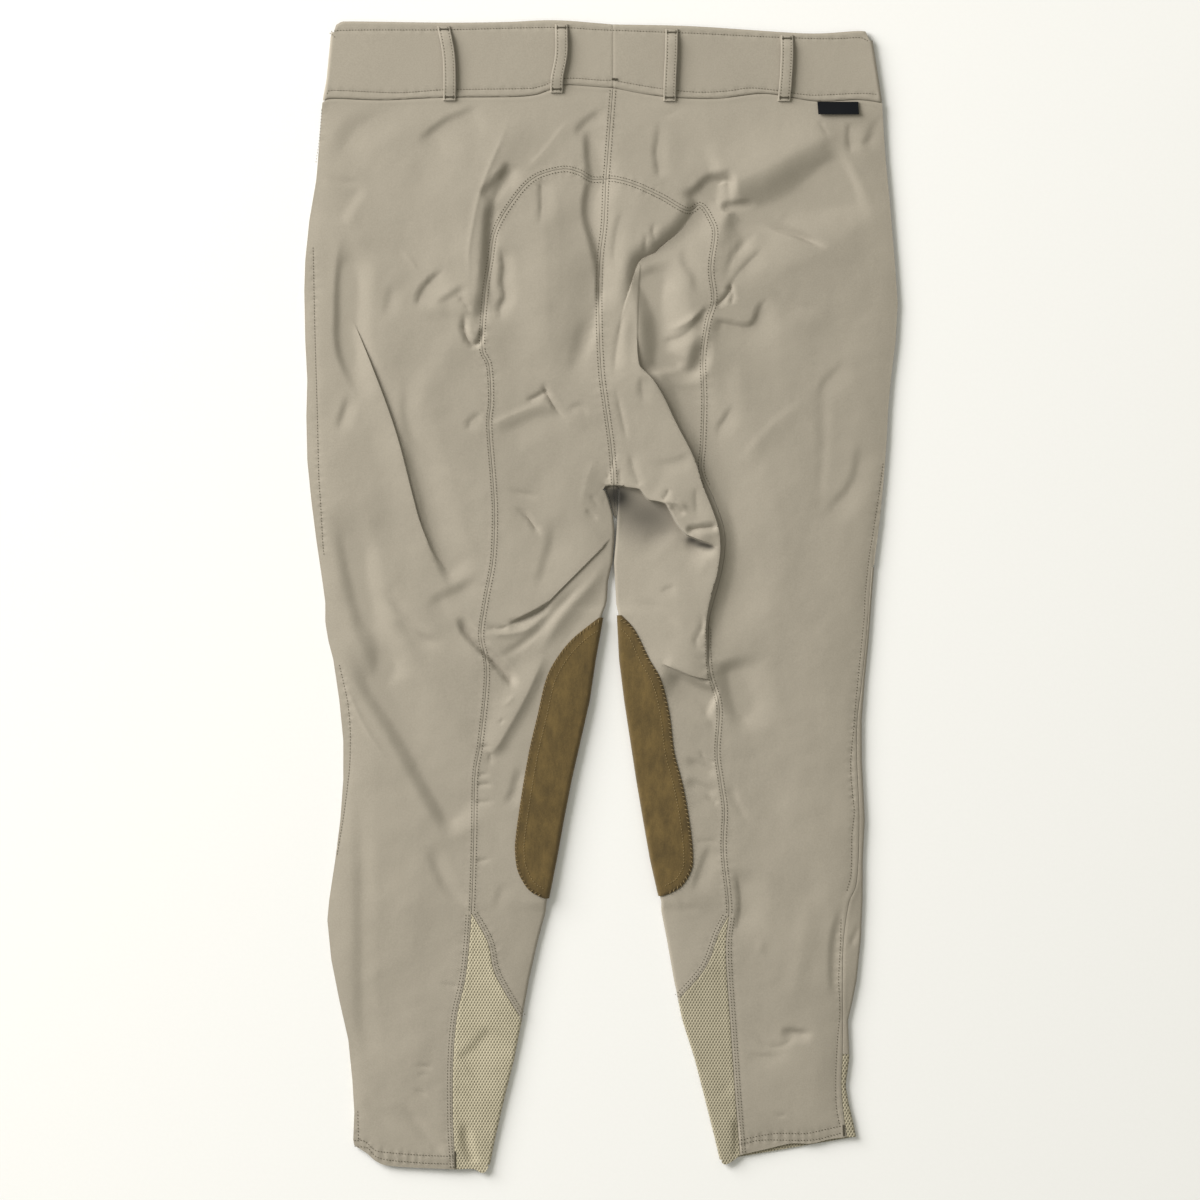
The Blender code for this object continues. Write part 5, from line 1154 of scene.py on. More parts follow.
def twill_finish(settings):
    """Stretch twill of nylon and elastane: matt, smooth and close, with a faint diagonal rib."""
    material, tree, shader, place = finish_of("nylon stretch twill", Roughness=0.78, Sheen_Weight=0.12,
                                              Sheen_Roughness=0.5, Specular_IOR_Level=0.3)
    base = settings.cloth_colour
    # Dye and wear vary over about 70 mm, and single yarns over about 1.2 mm.
    dye = ramp(tree, noise(tree, place, 14.0, Detail=3.0),
               (0.3, tinted(base, 0.965)), (0.7, tinted(base, 1.035)))
    yarn = ramp(tree, noise(tree, place, 850.0), (0.3, grey(0.90)), (0.7, grey(1.0)))
    # Cloth is darker in the needle line of a seam, where dirt and shadow gather.
    line = ramp(tree, carried(tree, "sewn"), (0.0, grey(0.94, 0.93, 0.92)), (0.06, grey(0.98, 0.98, 0.97)),
                (0.14, grey(1.0)))
    # Painted shade: the cloth is darkened in the hollow under the crotch flap, where shadow falls.
    painted_shade = ramp(tree, carried(tree, "hollow"), (0.0, grey(1.0)), (1.0, grey(0.03)))
    colour = times(tree, times(tree, times(tree, dye, yarn), line), painted_shade)
    # The rib is really 0.5 mm apart, and is drawn at 1.3 mm so that it shows at all.
    turned = put(tree, "ShaderNodeMapping", {"Vector": place, "Rotation": (0.0, 0.0, math.radians(62))})
    rib = put(tree, "ShaderNodeTexWave", {"Vector": turned.outputs["Vector"], "Scale": wave_scale(1.3),
                                          "Distortion": 1.2, "Detail": 1.0}, bands_direction="X")
    ribbed = bumped(tree, rib.outputs["Fac"], 0.12, 0.0002)
    crumple = noise(tree, place, 120.0, Detail=3.0)
    surfaced(tree, shader, colour, bumped(tree, crumple, 0.35, 0.0006, Normal=ribbed))
    return material


def suede_finish(settings):
    """Pigskin suede: a brushed nap that takes light unevenly, dark where it is rubbed flat."""
    material, tree, shader, place = finish_of("brushed suede", Roughness=0.92, Sheen_Weight=0.25,
                                              Sheen_Roughness=0.6, Specular_IOR_Level=0.15)
    base = settings.suede_colour
    # Nap marks are 5 to 15 mm across and drawn out along the leg; the fibre is under 1 mm.
    drawn = put(tree, "ShaderNodeMapping", {"Vector": place, "Scale": (1.0, 0.45, 1.0)})
    marks = noise(tree, drawn.outputs["Vector"], 120.0, Detail=6.0, Roughness=0.65)
    fibre = noise(tree, place, 1100.0)
    rubbed = ramp(tree, marks, (0.3, tinted(base, 0.72)), (0.5, tinted(base, 1.0)),
                  (0.7, tinted(base, 1.34)))
    nap = ramp(tree, fibre, (0.3, grey(0.80)), (0.7, grey(1.0)))
    # The edge under the needle is pressed and soiled.
    line = ramp(tree, carried(tree, "sewn"), (0.0, grey(0.62, 0.60, 0.58)), (0.25, grey(0.86, 0.85, 0.84)),
                (0.7, grey(1.0)))
    brushed = bumped(tree, fibre, 0.4, 0.0003)
    surfaced(tree, shader, times(tree, times(tree, rubbed, nap), line),
             bumped(tree, marks, 0.5, 0.0008, Normal=brushed))
    return material


def mesh_finish(settings, name, tone):
    """Warp-knitted polyester mesh: a springy open knit with a staggered row of small eyelets.

    A lower tone gives a darker copy of the same mesh."""
    material, tree, shader, place = finish_of(name, Roughness=0.85, Sheen_Weight=0.1,
                                              Specular_IOR_Level=0.25)
    axes = put(tree, "ShaderNodeSeparateXYZ", {"Vector": place})
    waves = [math_of(tree, "COSINE", math_of(tree, "MULTIPLY", axes.outputs[axis], 2 * math.pi / pitch))
             for axis, pitch in (("X", settings.eyelet_width), ("Y", settings.eyelet_height))]
    # The product peaks at the corners and middles of a grid, which staggers the eyelets.
    knit = math_of(tree, "MULTIPLY", *waves)
    base = tinted(settings.mesh_colour, tone)
    holes = ramp(tree, knit, (0.0, tinted(base, 1.06)), (0.30, base), (0.52, tinted(base, 0.62)),
                 (0.8, tinted(base, 0.34)))
    wear = ramp(tree, noise(tree, place, 60.0, Detail=3.0), (0.3, grey(0.90, 0.90, 0.89)), (0.7, grey(1.0)))
    surfaced(tree, shader, times(tree, holes, wear),
             bumped(tree, math_of(tree, "MULTIPLY", knit, -1.0), 0.6, 0.0005))
    return material


def tape_finish(settings):
    """Damask-woven polyester tape: near black, with a close rib and a slight satin gloss."""
    material, tree, shader, place = finish_of("woven satin tape", Roughness=0.6, Specular_IOR_Level=0.15)
    # Picks are 0.25 mm apart, drawn at 0.8 mm.
    pick = put(tree, "ShaderNodeTexWave", {"Vector": place, "Scale": wave_scale(0.8)},
               bands_direction="Y").outputs["Fac"]
    base = settings.tape_colour
    colour = ramp(tree, pick, (0.0, tinted(base, 0.6)), (1.0, tinted(base, 1.5)))
    surfaced(tree, shader, colour, bumped(tree, pick, 0.3, 0.0002))
    return material


def thread_finish(name, colour):
    """Spun polyester thread: matt, with a fine twist."""
    material, tree, shader, place = finish_of(name, Roughness=0.7, Sheen_Weight=0.1)
    twist = noise(tree, place, 1500.0)
    surfaced(tree, shader, ramp(tree, twist, (0.3, tinted(colour, 0.85)), (0.7, tinted(colour, 1.1))))
    return material


def paper_finish(colour):
    """Matt paper with the faintest grain, for the floor."""
    material, tree, shader, place = finish_of("matt paper", Roughness=0.9, Specular_IOR_Level=0.2)
    grain = noise(tree, place, 400.0)
    surfaced(tree, shader, ramp(tree, grain, (0.3, tinted(colour, 0.99)), (0.7, tinted(colour, 1.0))))
    return material


# Pieces

Cut = namedtuple("Cut", "width length area rests_on")


def laid(piece):
    """Hide the imported part that a piece of laid cloth stands for."""
    node = piece.name.removesuffix(FINISHED)
    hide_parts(node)


def flat_places(piece):
    """The x and y of each vertex."""
    places = np.empty(3 * len(piece.data.vertices))
    piece.data.vertices.foreach_get("co", places)
    return (places.reshape(-1, 3).T / MM)[:2]


def mark(piece, name, values):
    """Give each vertex a value, which a material reads."""
    piece.data.attributes.new(name, "FLOAT", "POINT").data.foreach_set("value", values)


def mark_sewing(piece, lines, reach=8.0):
    """Give each vertex its distance to the sewing, from 0 at a needle line to 1 at reach."""
    x, y = flat_places(piece)
    away = np.min([line.near(x, y)[0] * weight for line, weight in lines], axis=0)
    mark(piece, "sewn", np.clip(away / reach, 0.0, 1.0))


def mark_painted_shade(piece):
    """Give each vertex under the crotch flap its share of painted shade, for the shadow in the hollow."""
    x, y = flat_places(piece)
    flap = next(lap for lap in LAPS if lap.name == "crotch flap")
    near = (x > -10) & (x < 110) & (y > 0) & (y < 110)   # round the flap
    share = np.zeros(len(x))
    reach, _ = across(x[near], y[near], flap.path)
    painted_shade = sum(row.depth * bell(x[near] - row.x, row.across) * bell(y[near] - row.y, row.along)
               for row in PAINTED_SHADE_SPOTS)
    share[near] = np.minimum(painted_shade, 0.95) * ease(-reach / 1.2)
    mark(piece, "hollow", share)


class Cloth:
    """What the pieces share: the sizes, the relief of the back and the finishes."""

    def __init__(self, settings):
        self.wall = settings.cloth_wall / MM
        self.band = settings.band_wall / MM
        self.suede = settings.suede_wall / MM
        self.cell = settings.cell / MM
        self.relief = Relief(self.suede, settings.unevenness)
        self.twill = twill_finish(settings)
        self.suede_skin = suede_finish(settings)
        # The right calf's mesh is a darker copy of the left's
        self.knit = {"left": mesh_finish(settings, "warp-knitted mesh", 1.0),
                     "right": mesh_finish(settings, "stretched warp-knitted mesh", 0.8)}
        self.tape = tape_finish(settings)
        self.band_edges = Lines([smooth(WAIST_SEAM, FINE_STEP), smooth(WAIST_TOP_EDGE, FINE_STEP)])
        self.band_centre = Lines([resampled([(10, 423.5), (10, 476.5)], FINE_STEP)])
        self.band_rows = Lines([smooth(row, FINE_STEP) for row in BAND_ROWS])
        self.sewing = [(self.relief.seams, 1.0), (self.relief.rows, ROW_WEIGHT)]
        # Edges that the front panels meet, for each side
        self.band_edge = {}
        self.leg_edge = {}
        self.mesh_edge = {}

    def band_height(self, x, y):
        """Height of the waistband's outer face."""
        edge, _ = self.band_edges.near(x, y)
        row, along = self.band_rows.near(x, y)
        centre, _ = self.band_centre.near(x, y)
        # Its edges are rounded, and its rows and its centre seam lie in grooves.
        height = BAND_TOP - 0.9 * bell(edge, 0.9) - 0.28 * bell(row, 0.7) - 0.3 * bell(centre, 0.8)
        # It puckers along the rows and waves softly between them.
        height += 0.13 * np.sin(along / 1.6 + 1.5 * np.sin(along / 13.0)) * bell(row, 3.0)
        return height + 0.25 * np.sin(x / 17.0 + 0.8 * np.sin(x / 41.0)) * ease(edge / 12)

    def on_band(self, x, y):
        """Form of the waistband."""
        return np.column_stack([x, y, self.band_height(x, y)]), np.tile(UP, (len(x), 1))


CLOTH = {}


def cloth(context):
    """The shared sizes and finishes, worked out once for the current settings."""
    if "now" not in CLOTH:
        CLOTH["now"] = Cloth(context.scene.breeches)
    return CLOTH["now"]


FLAT_PARTS = 24        # parts in the flat run of a piece under the back
FRONT_DIP = (14.0, 12.0)   # how far the front of the waistband dips, at its top and its seam
SIDE_INSET = 0.4       # how far a front panel keeps behind the outline


def waistband(side, kit):
    """Half the band, from the centre back round the side to the centre front."""
    half = HALVES[side]
    seam, top = waist_parts()
    seam, top = (seam[0], top[0][::-1]) if side == "left" else (seam[1][::-1], top[1])
    turn = half.out * BAND_TOP / 2
    corner_x = seam[0][0] - turn
    corner_y = np.interp(abs(corner_x), np.abs(seam[::-1, 0]), seam[::-1, 1])
    y_side = np.linspace(corner_y, top[-1][1], 24)
    start_x = x_at(half.edge, y_side) - turn
    start_x[0] = corner_x
    side_line = np.column_stack([start_x, y_side])[::-1]
    seam = np.vstack([side_line[-1:], seam[np.abs(seam[:, 0]) < abs(corner_x) - 1.0]])
    top = np.vstack([top[np.abs(top[:, 0]) < abs(side_line[0][0]) - 1.5], side_line[:1]])
    centre = resampled([seam[-1], top[0]], EDGE_STEP)
    shell = Shell()
    loop = shell.sheet([(seam, SEAM / 2), (centre, SEAM / 6), (top, 0.0), (side_line, 0.0)],
                       kit.on_band, kit.cell, rows=[smooth(row, 1.5) for row in BAND_ROWS])
    starts = np.vstack([loop[-(len(side_line) - 1):], loop[:1]])
    far_x = FRONT_SEAM_X + half.out * SEAM / 2
    rows = []
    for start, dip in zip(starts, np.linspace(*FRONT_DIP, len(starts))):
        row = arc_row(start, half.out, 0.0, float(kit.band_height(start[:1], start[1:])[0]))
        for along in np.linspace(0.0, 1.0, FLAT_PARTS + 1)[1:]:
            front_y = start[1] - along * (2 - along) * dip
            row.append(((start[0] + (far_x - start[0]) * along, front_y, 0.0), DOWN))
        rows.append(row)
    shell.strip(rows)
    piece = shell.solid("waistband_" + side, kit.band, kit.twill)
    mark_sewing(piece, [(kit.band_edges, 1.0), (kit.band_rows, ROW_WEIGHT), (kit.band_centre, 3.0)])
    kit.band_edge[side] = np.array([place[:2] for place, _ in rows[-1][TURNS:]])
    laid(piece)


def outer_back(side, kit):
    """Seat side, back thigh and calf in one panel."""
    seam, _ = waist_parts()
    gap = SEAM / 2
    centre = smooth(CENTRE_BACK[:2])
    long_seams = [(long_seam(side, part), gap) for part in ("arch", "seam", "calf")]
    if side == "left":
        outline = [(seam[0], gap), (centre, gap), *long_seams, (smooth(LEFT_HEM)[::-1], 0.0),
                   (side_run(LEFT_SIDE, LEFT_SIDE[-1][1], WAIST_SEAM[0][1]), gap)]
    else:
        upper = side_run(RIGHT_SIDE, RIGHT_SIDE_SEAM[0][1], WAIST_SEAM[-1][1])
        upper[0] = RIGHT_SIDE_SEAM[0]
        outline = [(centre[::-1], gap), (seam[1], gap), (upper[::-1], gap),
                   (smooth(RIGHT_SIDE_SEAM), gap), (smooth(RIGHT_PLACKET), gap),
                   (smooth(RIGHT_HEM)[::-1], 0.0)]
        outline += [(line[::-1], gap) for line, gap in long_seams[::-1]]
    shell = Shell()
    shell.sheet(outline, kit.relief.on_back, kit.cell, rows=kit.relief.stitching,
                edges=kit.relief.creased)
    piece = shell.solid("outer_back_" + side, kit.wall, kit.twill)
    mark_sewing(piece, kit.sewing)
    laid(piece)


PATCH_RIM = 0.35       # share of the suede's thickness at the patch's edge
PATCH_ROUND = 1.8      # width over which it rises to the whole


def inner_leg(side, kit):
    """Seat and inner leg panel with its wrap to the front, and the knee patch on it."""
    half = HALVES[side]
    inwards = -half.out
    gap = SEAM / 2
    relief = kit.relief
    mesh_top = smooth(half.mesh_top)
    patch_high, patch_low = half.patch[0][1], half.patch[-1][1]
    stops = [88.0, patch_high, patch_low, mesh_top[-1][1]]
    y_values = np.concatenate([np.linspace(a, b, max(2, int(round((a - b) / EDGE_STEP)) + 1))[:-1]
                               for a, b in zip(stops, stops[1:])] + [[stops[-1]]])
    line = fold_line(relief, half.inner, inwards, y_values)
    mesh_top[-1] = line[-1]
    centre = smooth(CENTRE_BACK[1:])
    corner = (3.5, 91.5) if side == "left" else (14.4, 91.5)
    crotch = resampled([centre[-1], corner, line[0]], 1.5)
    outline = [(long_seam(side, "arch")[::-1], gap), (centre, gap), (crotch, gap), (line, 0.0),
               (mesh_top[::-1], gap), (long_seam(side, "seam")[::-1], gap)]
    ends = [line[list(y_values).index(y)] for y in (patch_high, patch_low)]
    chain = smooth([ends[0]] + half.patch[1:-1] + [ends[1]], 1.5)[1:-1]
    edge = Lines([np.vstack([ends[:1], chain, ends[1:]])])
    shell = Shell()
    loop = shell.sheet(outline, relief.on_back, kit.cell, chain=chain, edges=relief.creased)
    first = int(np.hypot(*(loop - line[0]).T).argmin())
    rows, marks = [], []
    for start, y in zip(loop[first:first + len(line)], y_values):
        low = float(low_at(start[1], kit.suede))
        row = arc_row(start, inwards, low, relief.top(start))
        reach = max(0.6, float(x_at(WRAP_WIDTH, y)) - 6)
        # The knee patch covers a share of the wrap, with round ends.
        share = np.clip((patch_high - y) / (patch_high - patch_low), 0.0, 1.0)
        cover = 0.62 * np.sqrt(np.clip(1 - (2 * share - 1) ** 4, 0.0, 1.0)) + 0.06
        for along in (0.25 * cover, 0.5 * cover, 0.75 * cover, cover, 0.5 * (1 + cover), 1.0):
            away = reach * along
            drop = front_drop(half, away) if y == stops[-1] else 0.0
            lift = low * np.clip((1 - along) / 0.25, 0.0, 1.0)
            row.append(((start[0] - inwards * away, start[1] - drop, lift), DOWN))
        rows.append(row)
        # The patch ends at the fourth of the six points behind the turn.
        marks.append([patch_high >= y > patch_low] * (TURNS + 4) + [False] * 2)
    shell.strip(rows, marks)
    piece = shell.solid("inner_leg_" + side, kit.wall, kit.twill)
    mark_sewing(piece, kit.sewing + [(edge, 2.5)])
    if side == "right":
        # Painted shade under the crotch flap
        mark_painted_shade(piece)
    laid(piece)

    def rise(points):
        """Full thickness away from the patch's edge, which is rounded over."""
        away, _ = edge.near(points[:, 0], points[:, 1])
        return SEAM + kit.suede * (PATCH_RIM + (1 - PATCH_RIM) * ease(away / PATCH_ROUND))

    skin = shell.solid("knee_patch_" + side, kit.suede, kit.suede_skin, lift=rise, marked_only=True)
    mark_sewing(skin, [(edge, 1.0)], 10.0)
    laid(skin)
    kit.leg_edge[side] = np.array([row[-1][0][:2] for row in rows])


def calf_mesh(side, kit):
    """Mesh calf: back inner calf, the inner edge and the lower front."""
    half = HALVES[side]
    left = side == "left"
    gap = SEAM / 2
    relief = kit.relief
    mesh_top = smooth(half.mesh_top)
    hem = smooth(half.mesh_hem)
    hem = hem if left else hem[::-1]
    placket = smooth(RIGHT_PLACKET)
    y_values = np.linspace(mesh_top[-1][1], hem[-1][1], len(placket))
    line = fold_line(relief, half.inner, -half.out, y_values)
    mesh_top[-1] = line[0]
    hem = np.vstack([hem[:-1], line[-1:]])
    seam = long_seam(side, "calf")
    shell = Shell()
    loop = shell.sheet([(seam, gap), (hem, 0.0), (line[::-1], 0.0), (mesh_top[::-1], gap)],
                       relief.on_back, kit.cell)
    last = int(np.hypot(*(loop - line[0]).T).argmin())
    starts = loop[last - len(line) + 1:last + 1][::-1]
    if left:
        outer_y = np.linspace(MESH_SIDE_Y, LEFT_SIDE[-1][1] + 1, len(starts))
        outer_x = x_at(LEFT_SIDE, outer_y) + SIDE_INSET
    else:
        outer_y = placket[:, 1].copy()
        outer_x = fold_line(relief, RIGHT_SIDE, 1, outer_y, lift=False)[:, 0]
    outer_y[0] = starts[0][1] - front_drop(half, abs(outer_x[0] - starts[0][0]))
    rows = []
    for start, turn, seam_x in zip(starts, np.column_stack([outer_x, outer_y]), placket[:, 0]):
        row = arc_row(start, -half.out, 0.0, relief.top(start))
        for along in np.linspace(0.0, 1.0, FLAT_PARTS + 1)[1:]:
            row.append(((*(start + (turn - start) * along), 0.0), DOWN))
        if not left:
            row += arc_row(turn, 1, 0.0, relief.top(turn))[::-1][1:]
            row += relief.inwards(turn, seam_x + gap, (0.33, 0.67, 1.0))
        rows.append(row)
    shell.strip(rows)
    piece = shell.solid("calf_mesh_" + side, kit.wall, kit.knit[side])
    kit.mesh_edge[side] = np.array([place[:2] for place, _ in rows[0][TURNS:TURNS + FLAT_PARTS + 1]])
    laid(piece)


def front(side, kit):
    """Front panel, flat on the surface. The right one turns up round the side."""
    half = HALVES[side]
    left = side == "left"
    relief = kit.relief
    waist = kit.band_edge[side] - (0.0, SEAM)
    top_y = waist[0][1]
    nudge = half.out * SEAM / 2
    centre = resampled([waist[-1], (FRONT_SEAM_X + nudge, CROTCH_Y + 8)], 20.0)
    tip = CROTCH_TIP[0] + nudge, CROTCH_TIP[1]
    # From the lowest point of the centre seam the edge runs back up beside the inner leg's fold.
    tongue_y = np.array([68.0, 73.0, 78.0, 83.0, 87.5])
    tongue_x = x_at(half.inner, tongue_y) - half.out * 0.5
    tongue = np.vstack([resampled([centre[-1], tip], 4.0)[1:],
                        np.column_stack([tongue_x, tongue_y]), [(tongue_x[-1], 89.2)]])
    mesh_edge = kit.mesh_edge[side]
    inner = kit.leg_edge[side] + (half.out * SEAM, 0.0)
    inner[0] += (0.0, 2 * SEAM)
    low = mesh_edge[1:] + (0.0, SEAM)
    low = low[low[:, 0] * half.out > inner[-1][0] * half.out + 6]
    corner_y = np.interp(inner[-1][0] * half.out, mesh_edge[:, 0] * half.out, mesh_edge[:, 1]) + SEAM
    corner = np.array([[inner[-1][0], corner_y]])
    inner = inner[inner[:, 1] > corner[0][1] + 3]
    if left:
        side_line = side_run(LEFT_SIDE, low[-1][1], top_y - 2, SIDE_INSET)
        side_line[0] = low[-1]
    else:
        seam = smooth(RIGHT_SIDE_SEAM)[::-1]
        turned = fold_line(relief, RIGHT_SIDE, 1, seam[:, 1], lift=False)
        turned[0] = low[-1]
        side_line = np.vstack([turned, side_run(RIGHT_SIDE, 36, top_y - 2, -SIDE_INSET)])
    closed = np.vstack([waist, centre[1:], tongue, inner, corner, low, side_line[1:], waist[:1]])
    shell = Shell()
    loop = shell.sheet([(closed, 0.0)], on_floor, 14.0, ringed=False)
    if not left:
        first = int(np.hypot(*(loop - turned[0]).T).argmin())
        shell.strip([arc_row(start, 1, 0.0, relief.top(start))[::-1]
                     + relief.inwards(start, seam_x + SEAM / 2, np.linspace(0.0, 1.0, 9)[1:])
                     for start, (seam_x, _) in zip(loop[first:first + len(turned)], seam)])
    piece = shell.solid("front_" + side, kit.wall, kit.twill)
    mark_sewing(piece, kit.sewing)
    # Painted shade under the crotch flap, on the front's tongue
    mark_painted_shade(piece)
    laid(piece)


def loop_frame(loop):
    """A belt loop's middle line with its outer height and slope."""
    path = smooth(loop.path, 1.5)
    share = np.linspace(0.0, 1.0, len(path))
    outer = BAND_TOP + SEAM + LOOP_WALL + LOOP_RISE * ease(np.minimum(share, 1 - share) / 0.22)
    return path, outer, np.gradient(outer) / np.hypot(*np.gradient(path, axis=0).T)


def belt_loop(loop, kit, width):
    """A folded strip over the waistband, standing off between its two tacked ends."""
    shell = Shell()
    rows = []
    half = np.array([0.25, 0.5, 0.64, 0.8, 0.93, 1.0])
    spans = np.concatenate([-half[::-1], [0.0], half])
    # Its edges are rounded, and its two rows of stitches lie in grooves.
    dips = -0.55 * np.abs(spans) ** 14 - 0.22 * bell(np.abs(spans) - 0.62, 0.12)
    for (x, y), z, tilt in zip(*loop_frame(loop)):
        normal = np.array([0.0, tilt, 1.0]) / np.hypot(1.0, tilt)
        rows.append([((x + span * width / 2, y, z + dip), normal) for span, dip in zip(spans, dips)])
    shell.strip(rows)
    piece = shell.solid(loop.name, LOOP_WALL, kit.twill)
    mark_sewing(piece, [(Lines([smooth(loop.path, FINE_STEP) + (away, 0.0)]), ROW_WEIGHT)
                        for away in (-3.2, 3.2)])
    laid(piece)


LABEL_CORNER = (180.3, 411.9)   # upper left corner of the tab
LABEL_WALL = 1.0
LABEL_LEAN = 0.8       # how far its lower edge lies to the right of the upper
LABEL_RISE = 1.7       # how far its outer face stands over the back
LABEL_CURL = 1.6       # how much more at the lower edge


def label_tab(kit, wide, tall):
    """A woven tab, left bare, that hangs from the waist seam and stands off at its lower end."""
    shell = Shell()
    rows = []
    for along in np.linspace(0.0, 1.0, 10):
        y = LABEL_CORNER[1] - along * tall
        x = LABEL_CORNER[0] + np.linspace(0.0, 1.0, 30) * wide + LABEL_LEAN * along
        z = kit.relief.height(x, np.full_like(x, y), sewn=False) + LABEL_RISE
        z += LABEL_CURL * along ** 2 + 0.2 * np.sin(x / 6.0) * along
        rows.append([((a, y, b), UP) for a, b in zip(x, z)])
    shell.strip(rows)
    laid(shell.solid("label_tab", LABEL_WALL, kit.tape))


# Sewing

PROUD = 0.22           # how far a stitch's middle stands over the needle line
LOOP_ROW = 3.3         # from a belt loop's middle to its rows of stitches
TACK = 7.6             # length of a bar tack
PATCH_ROW_EDGE = 0.9   # from the edge of a knee patch to its outer row
PATCH_ROW_INNER = 7.5
TACKS = [              # at the placket, at the left hem and at the centre back of the waistband
    [(202, -441), (202.4, -450)], [(-121.5, -463), (-121.5, -477)], [(9.2, 431), (13.6, 430.6)],
]


# Stitches that aren't plain, in metres and radians
TACK_STITCH = {"Pitch": 0.0006, "Length": 0.0022, "Slant": math.radians(82), "Unevenness": 0.15}
PATCH_STITCH = {"Pitch": 0.0036, "Length": 0.0034, "Slant": math.radians(55), "Unevenness": 0.25}


def lifted(path, height):
    """A flat path as points on a surface."""
    path = np.asarray(path, float)
    return np.column_stack([path, height(path[:, 0], path[:, 1]) + PROUD])


def on_loop(loop, away):
    """A line along a belt loop, away from its middle."""
    path, outer, _ = loop_frame(loop)
    return np.column_stack([path[:, 0] + away, path[:, 1], outer - 0.1])[1:-1]


def seam_rows(kit):
    """Both sides of the long seams and the arches."""
    return [lifted(row[1:-1], kit.relief.height) for row in rows_by_seams()]


def side_rows(kit):
    """The side seams, the placket and the hems."""
    return [lifted(smooth(row), kit.relief.height) for row in SIDE_ROWS + HEM_ROWS]


def band_rows(kit):
    """The waistband's top and bottom rows."""
    return [lifted(smooth(row), kit.band_height) for row in BAND_ROWS]


def loop_rows():
    """Two rows along each belt loop."""
    return [on_loop(loop, away) for loop in BELT_LOOPS for away in (-LOOP_ROW, LOOP_ROW)]


def patch_rows(kit, away):
    """A row inside the top edge of each knee patch."""
    rows = []
    for half in HALVES.values():
        row = beside(smooth(half.patch[:-1]), -half.out * away)
        row = row[(row[:, 0] - x_at(half.inner, row[:, 1])) * half.out > 3.0]
        rows.append(lifted(row, lambda x, y: kit.relief.height(x, y) + SEAM + kit.suede))
    return rows


def tack_rows(kit):
    """Bar tacks: short rows of close cross stitches."""
    rows = []
    for loop in BELT_LOOPS:
        path, outer, _ = loop_frame(loop)
        for index in (2, -3):
            x, y, z = *path[index], outer[index] - 0.05
            rows.append(np.array([(x + away, y, z) for away in (-TACK / 2, 0.0, TACK / 2)]))
    for path in TACKS:
        on_waistband = path[0][1] > CENTRE_BACK[0][1]
        height = kit.band_height if on_waistband else kit.relief.height
        rows.append(lifted(resampled(path, 2.0), height))
    return rows


def stitch_tree(material):
    """Stitches laid along the object's edges, each a short thread with rounded ends."""
    tree = bpy.data.node_groups.new("stitches", "GeometryNodeTree")
    tree.interface.new_socket("Geometry", in_out="INPUT", socket_type="NodeSocketGeometry")
    for name in ("Pitch", "Length", "Thread", "Slant", "Unevenness"):
        tree.interface.new_socket(name, in_out="INPUT", socket_type="NodeSocketFloat")
    tree.interface.new_socket("Geometry", in_out="OUTPUT", socket_type="NodeSocketGeometry")
    given = put(tree, "NodeGroupInput").outputs
    curve = put(tree, "GeometryNodeMeshToCurve", {"Mesh": given["Geometry"]})
    spots = put(tree, "GeometryNodeCurveToPoints", {"Curve": curve.outputs[0], "Length": given["Pitch"]},
                mode="LENGTH")
    along = put(tree, "FunctionNodeAlignRotationToVector", {"Vector": spots.outputs["Tangent"]}, axis="X")
    upright = put(tree, "FunctionNodeAlignRotationToVector",
                  {"Rotation": along.outputs[0], "Vector": (0.0, 0.0, 1.0)}, axis="Z", pivot_axis="X")
    low = math_of(tree, "MULTIPLY", given["Unevenness"], -1.0)
    swing = put(tree, "FunctionNodeRandomValue", {"Seed": 11}, data_type="FLOAT")
    # A float random value has its own numbered sockets among those of the other types.
    for name, value in (("Min", low), ("Max", given["Unevenness"])):
        socket = next(s for s in swing.inputs if s.name == name and s.type == "VALUE" and s.enabled)
        tree.links.new(value, socket)
    offset = next(s for s in swing.outputs if s.type == "VALUE" and s.enabled)
    turn = put(tree, "ShaderNodeCombineXYZ", {"Z": math_of(tree, "ADD", given["Slant"], offset)})
    turned = put(tree, "FunctionNodeEulerToRotation", {0: turn.outputs[0]})
    rotation = put(tree, "FunctionNodeRotateRotation", {0: upright.outputs[0], 1: turned.outputs[0]},
                   rotation_space="LOCAL")
    ball = put(tree, "GeometryNodeMeshUVSphere", {"Segments": 6, "Rings": 4, "Radius": 0.5})
    size = put(tree, "ShaderNodeCombineXYZ",
               {"X": given["Length"], "Y": given["Thread"], "Z": given["Thread"]})
    stitch = put(tree, "GeometryNodeTransform", {"Geometry": ball.outputs["Mesh"], "Scale": size.outputs[0]})
    laid_out = put(tree, "GeometryNodeInstanceOnPoints",
                   {"Points": spots.outputs["Points"], "Instance": stitch.outputs[0],
                    "Rotation": rotation.outputs[0]})
    real = put(tree, "GeometryNodeRealizeInstances", {0: laid_out.outputs[0]})
    round_off = put(tree, "GeometryNodeSetShadeSmooth", {0: real.outputs[0]})
    done = put(tree, "GeometryNodeSetMaterial", {"Geometry": round_off.outputs[0], "Material": material})
    put(tree, "NodeGroupOutput", {0: done.outputs[0]})
    return tree


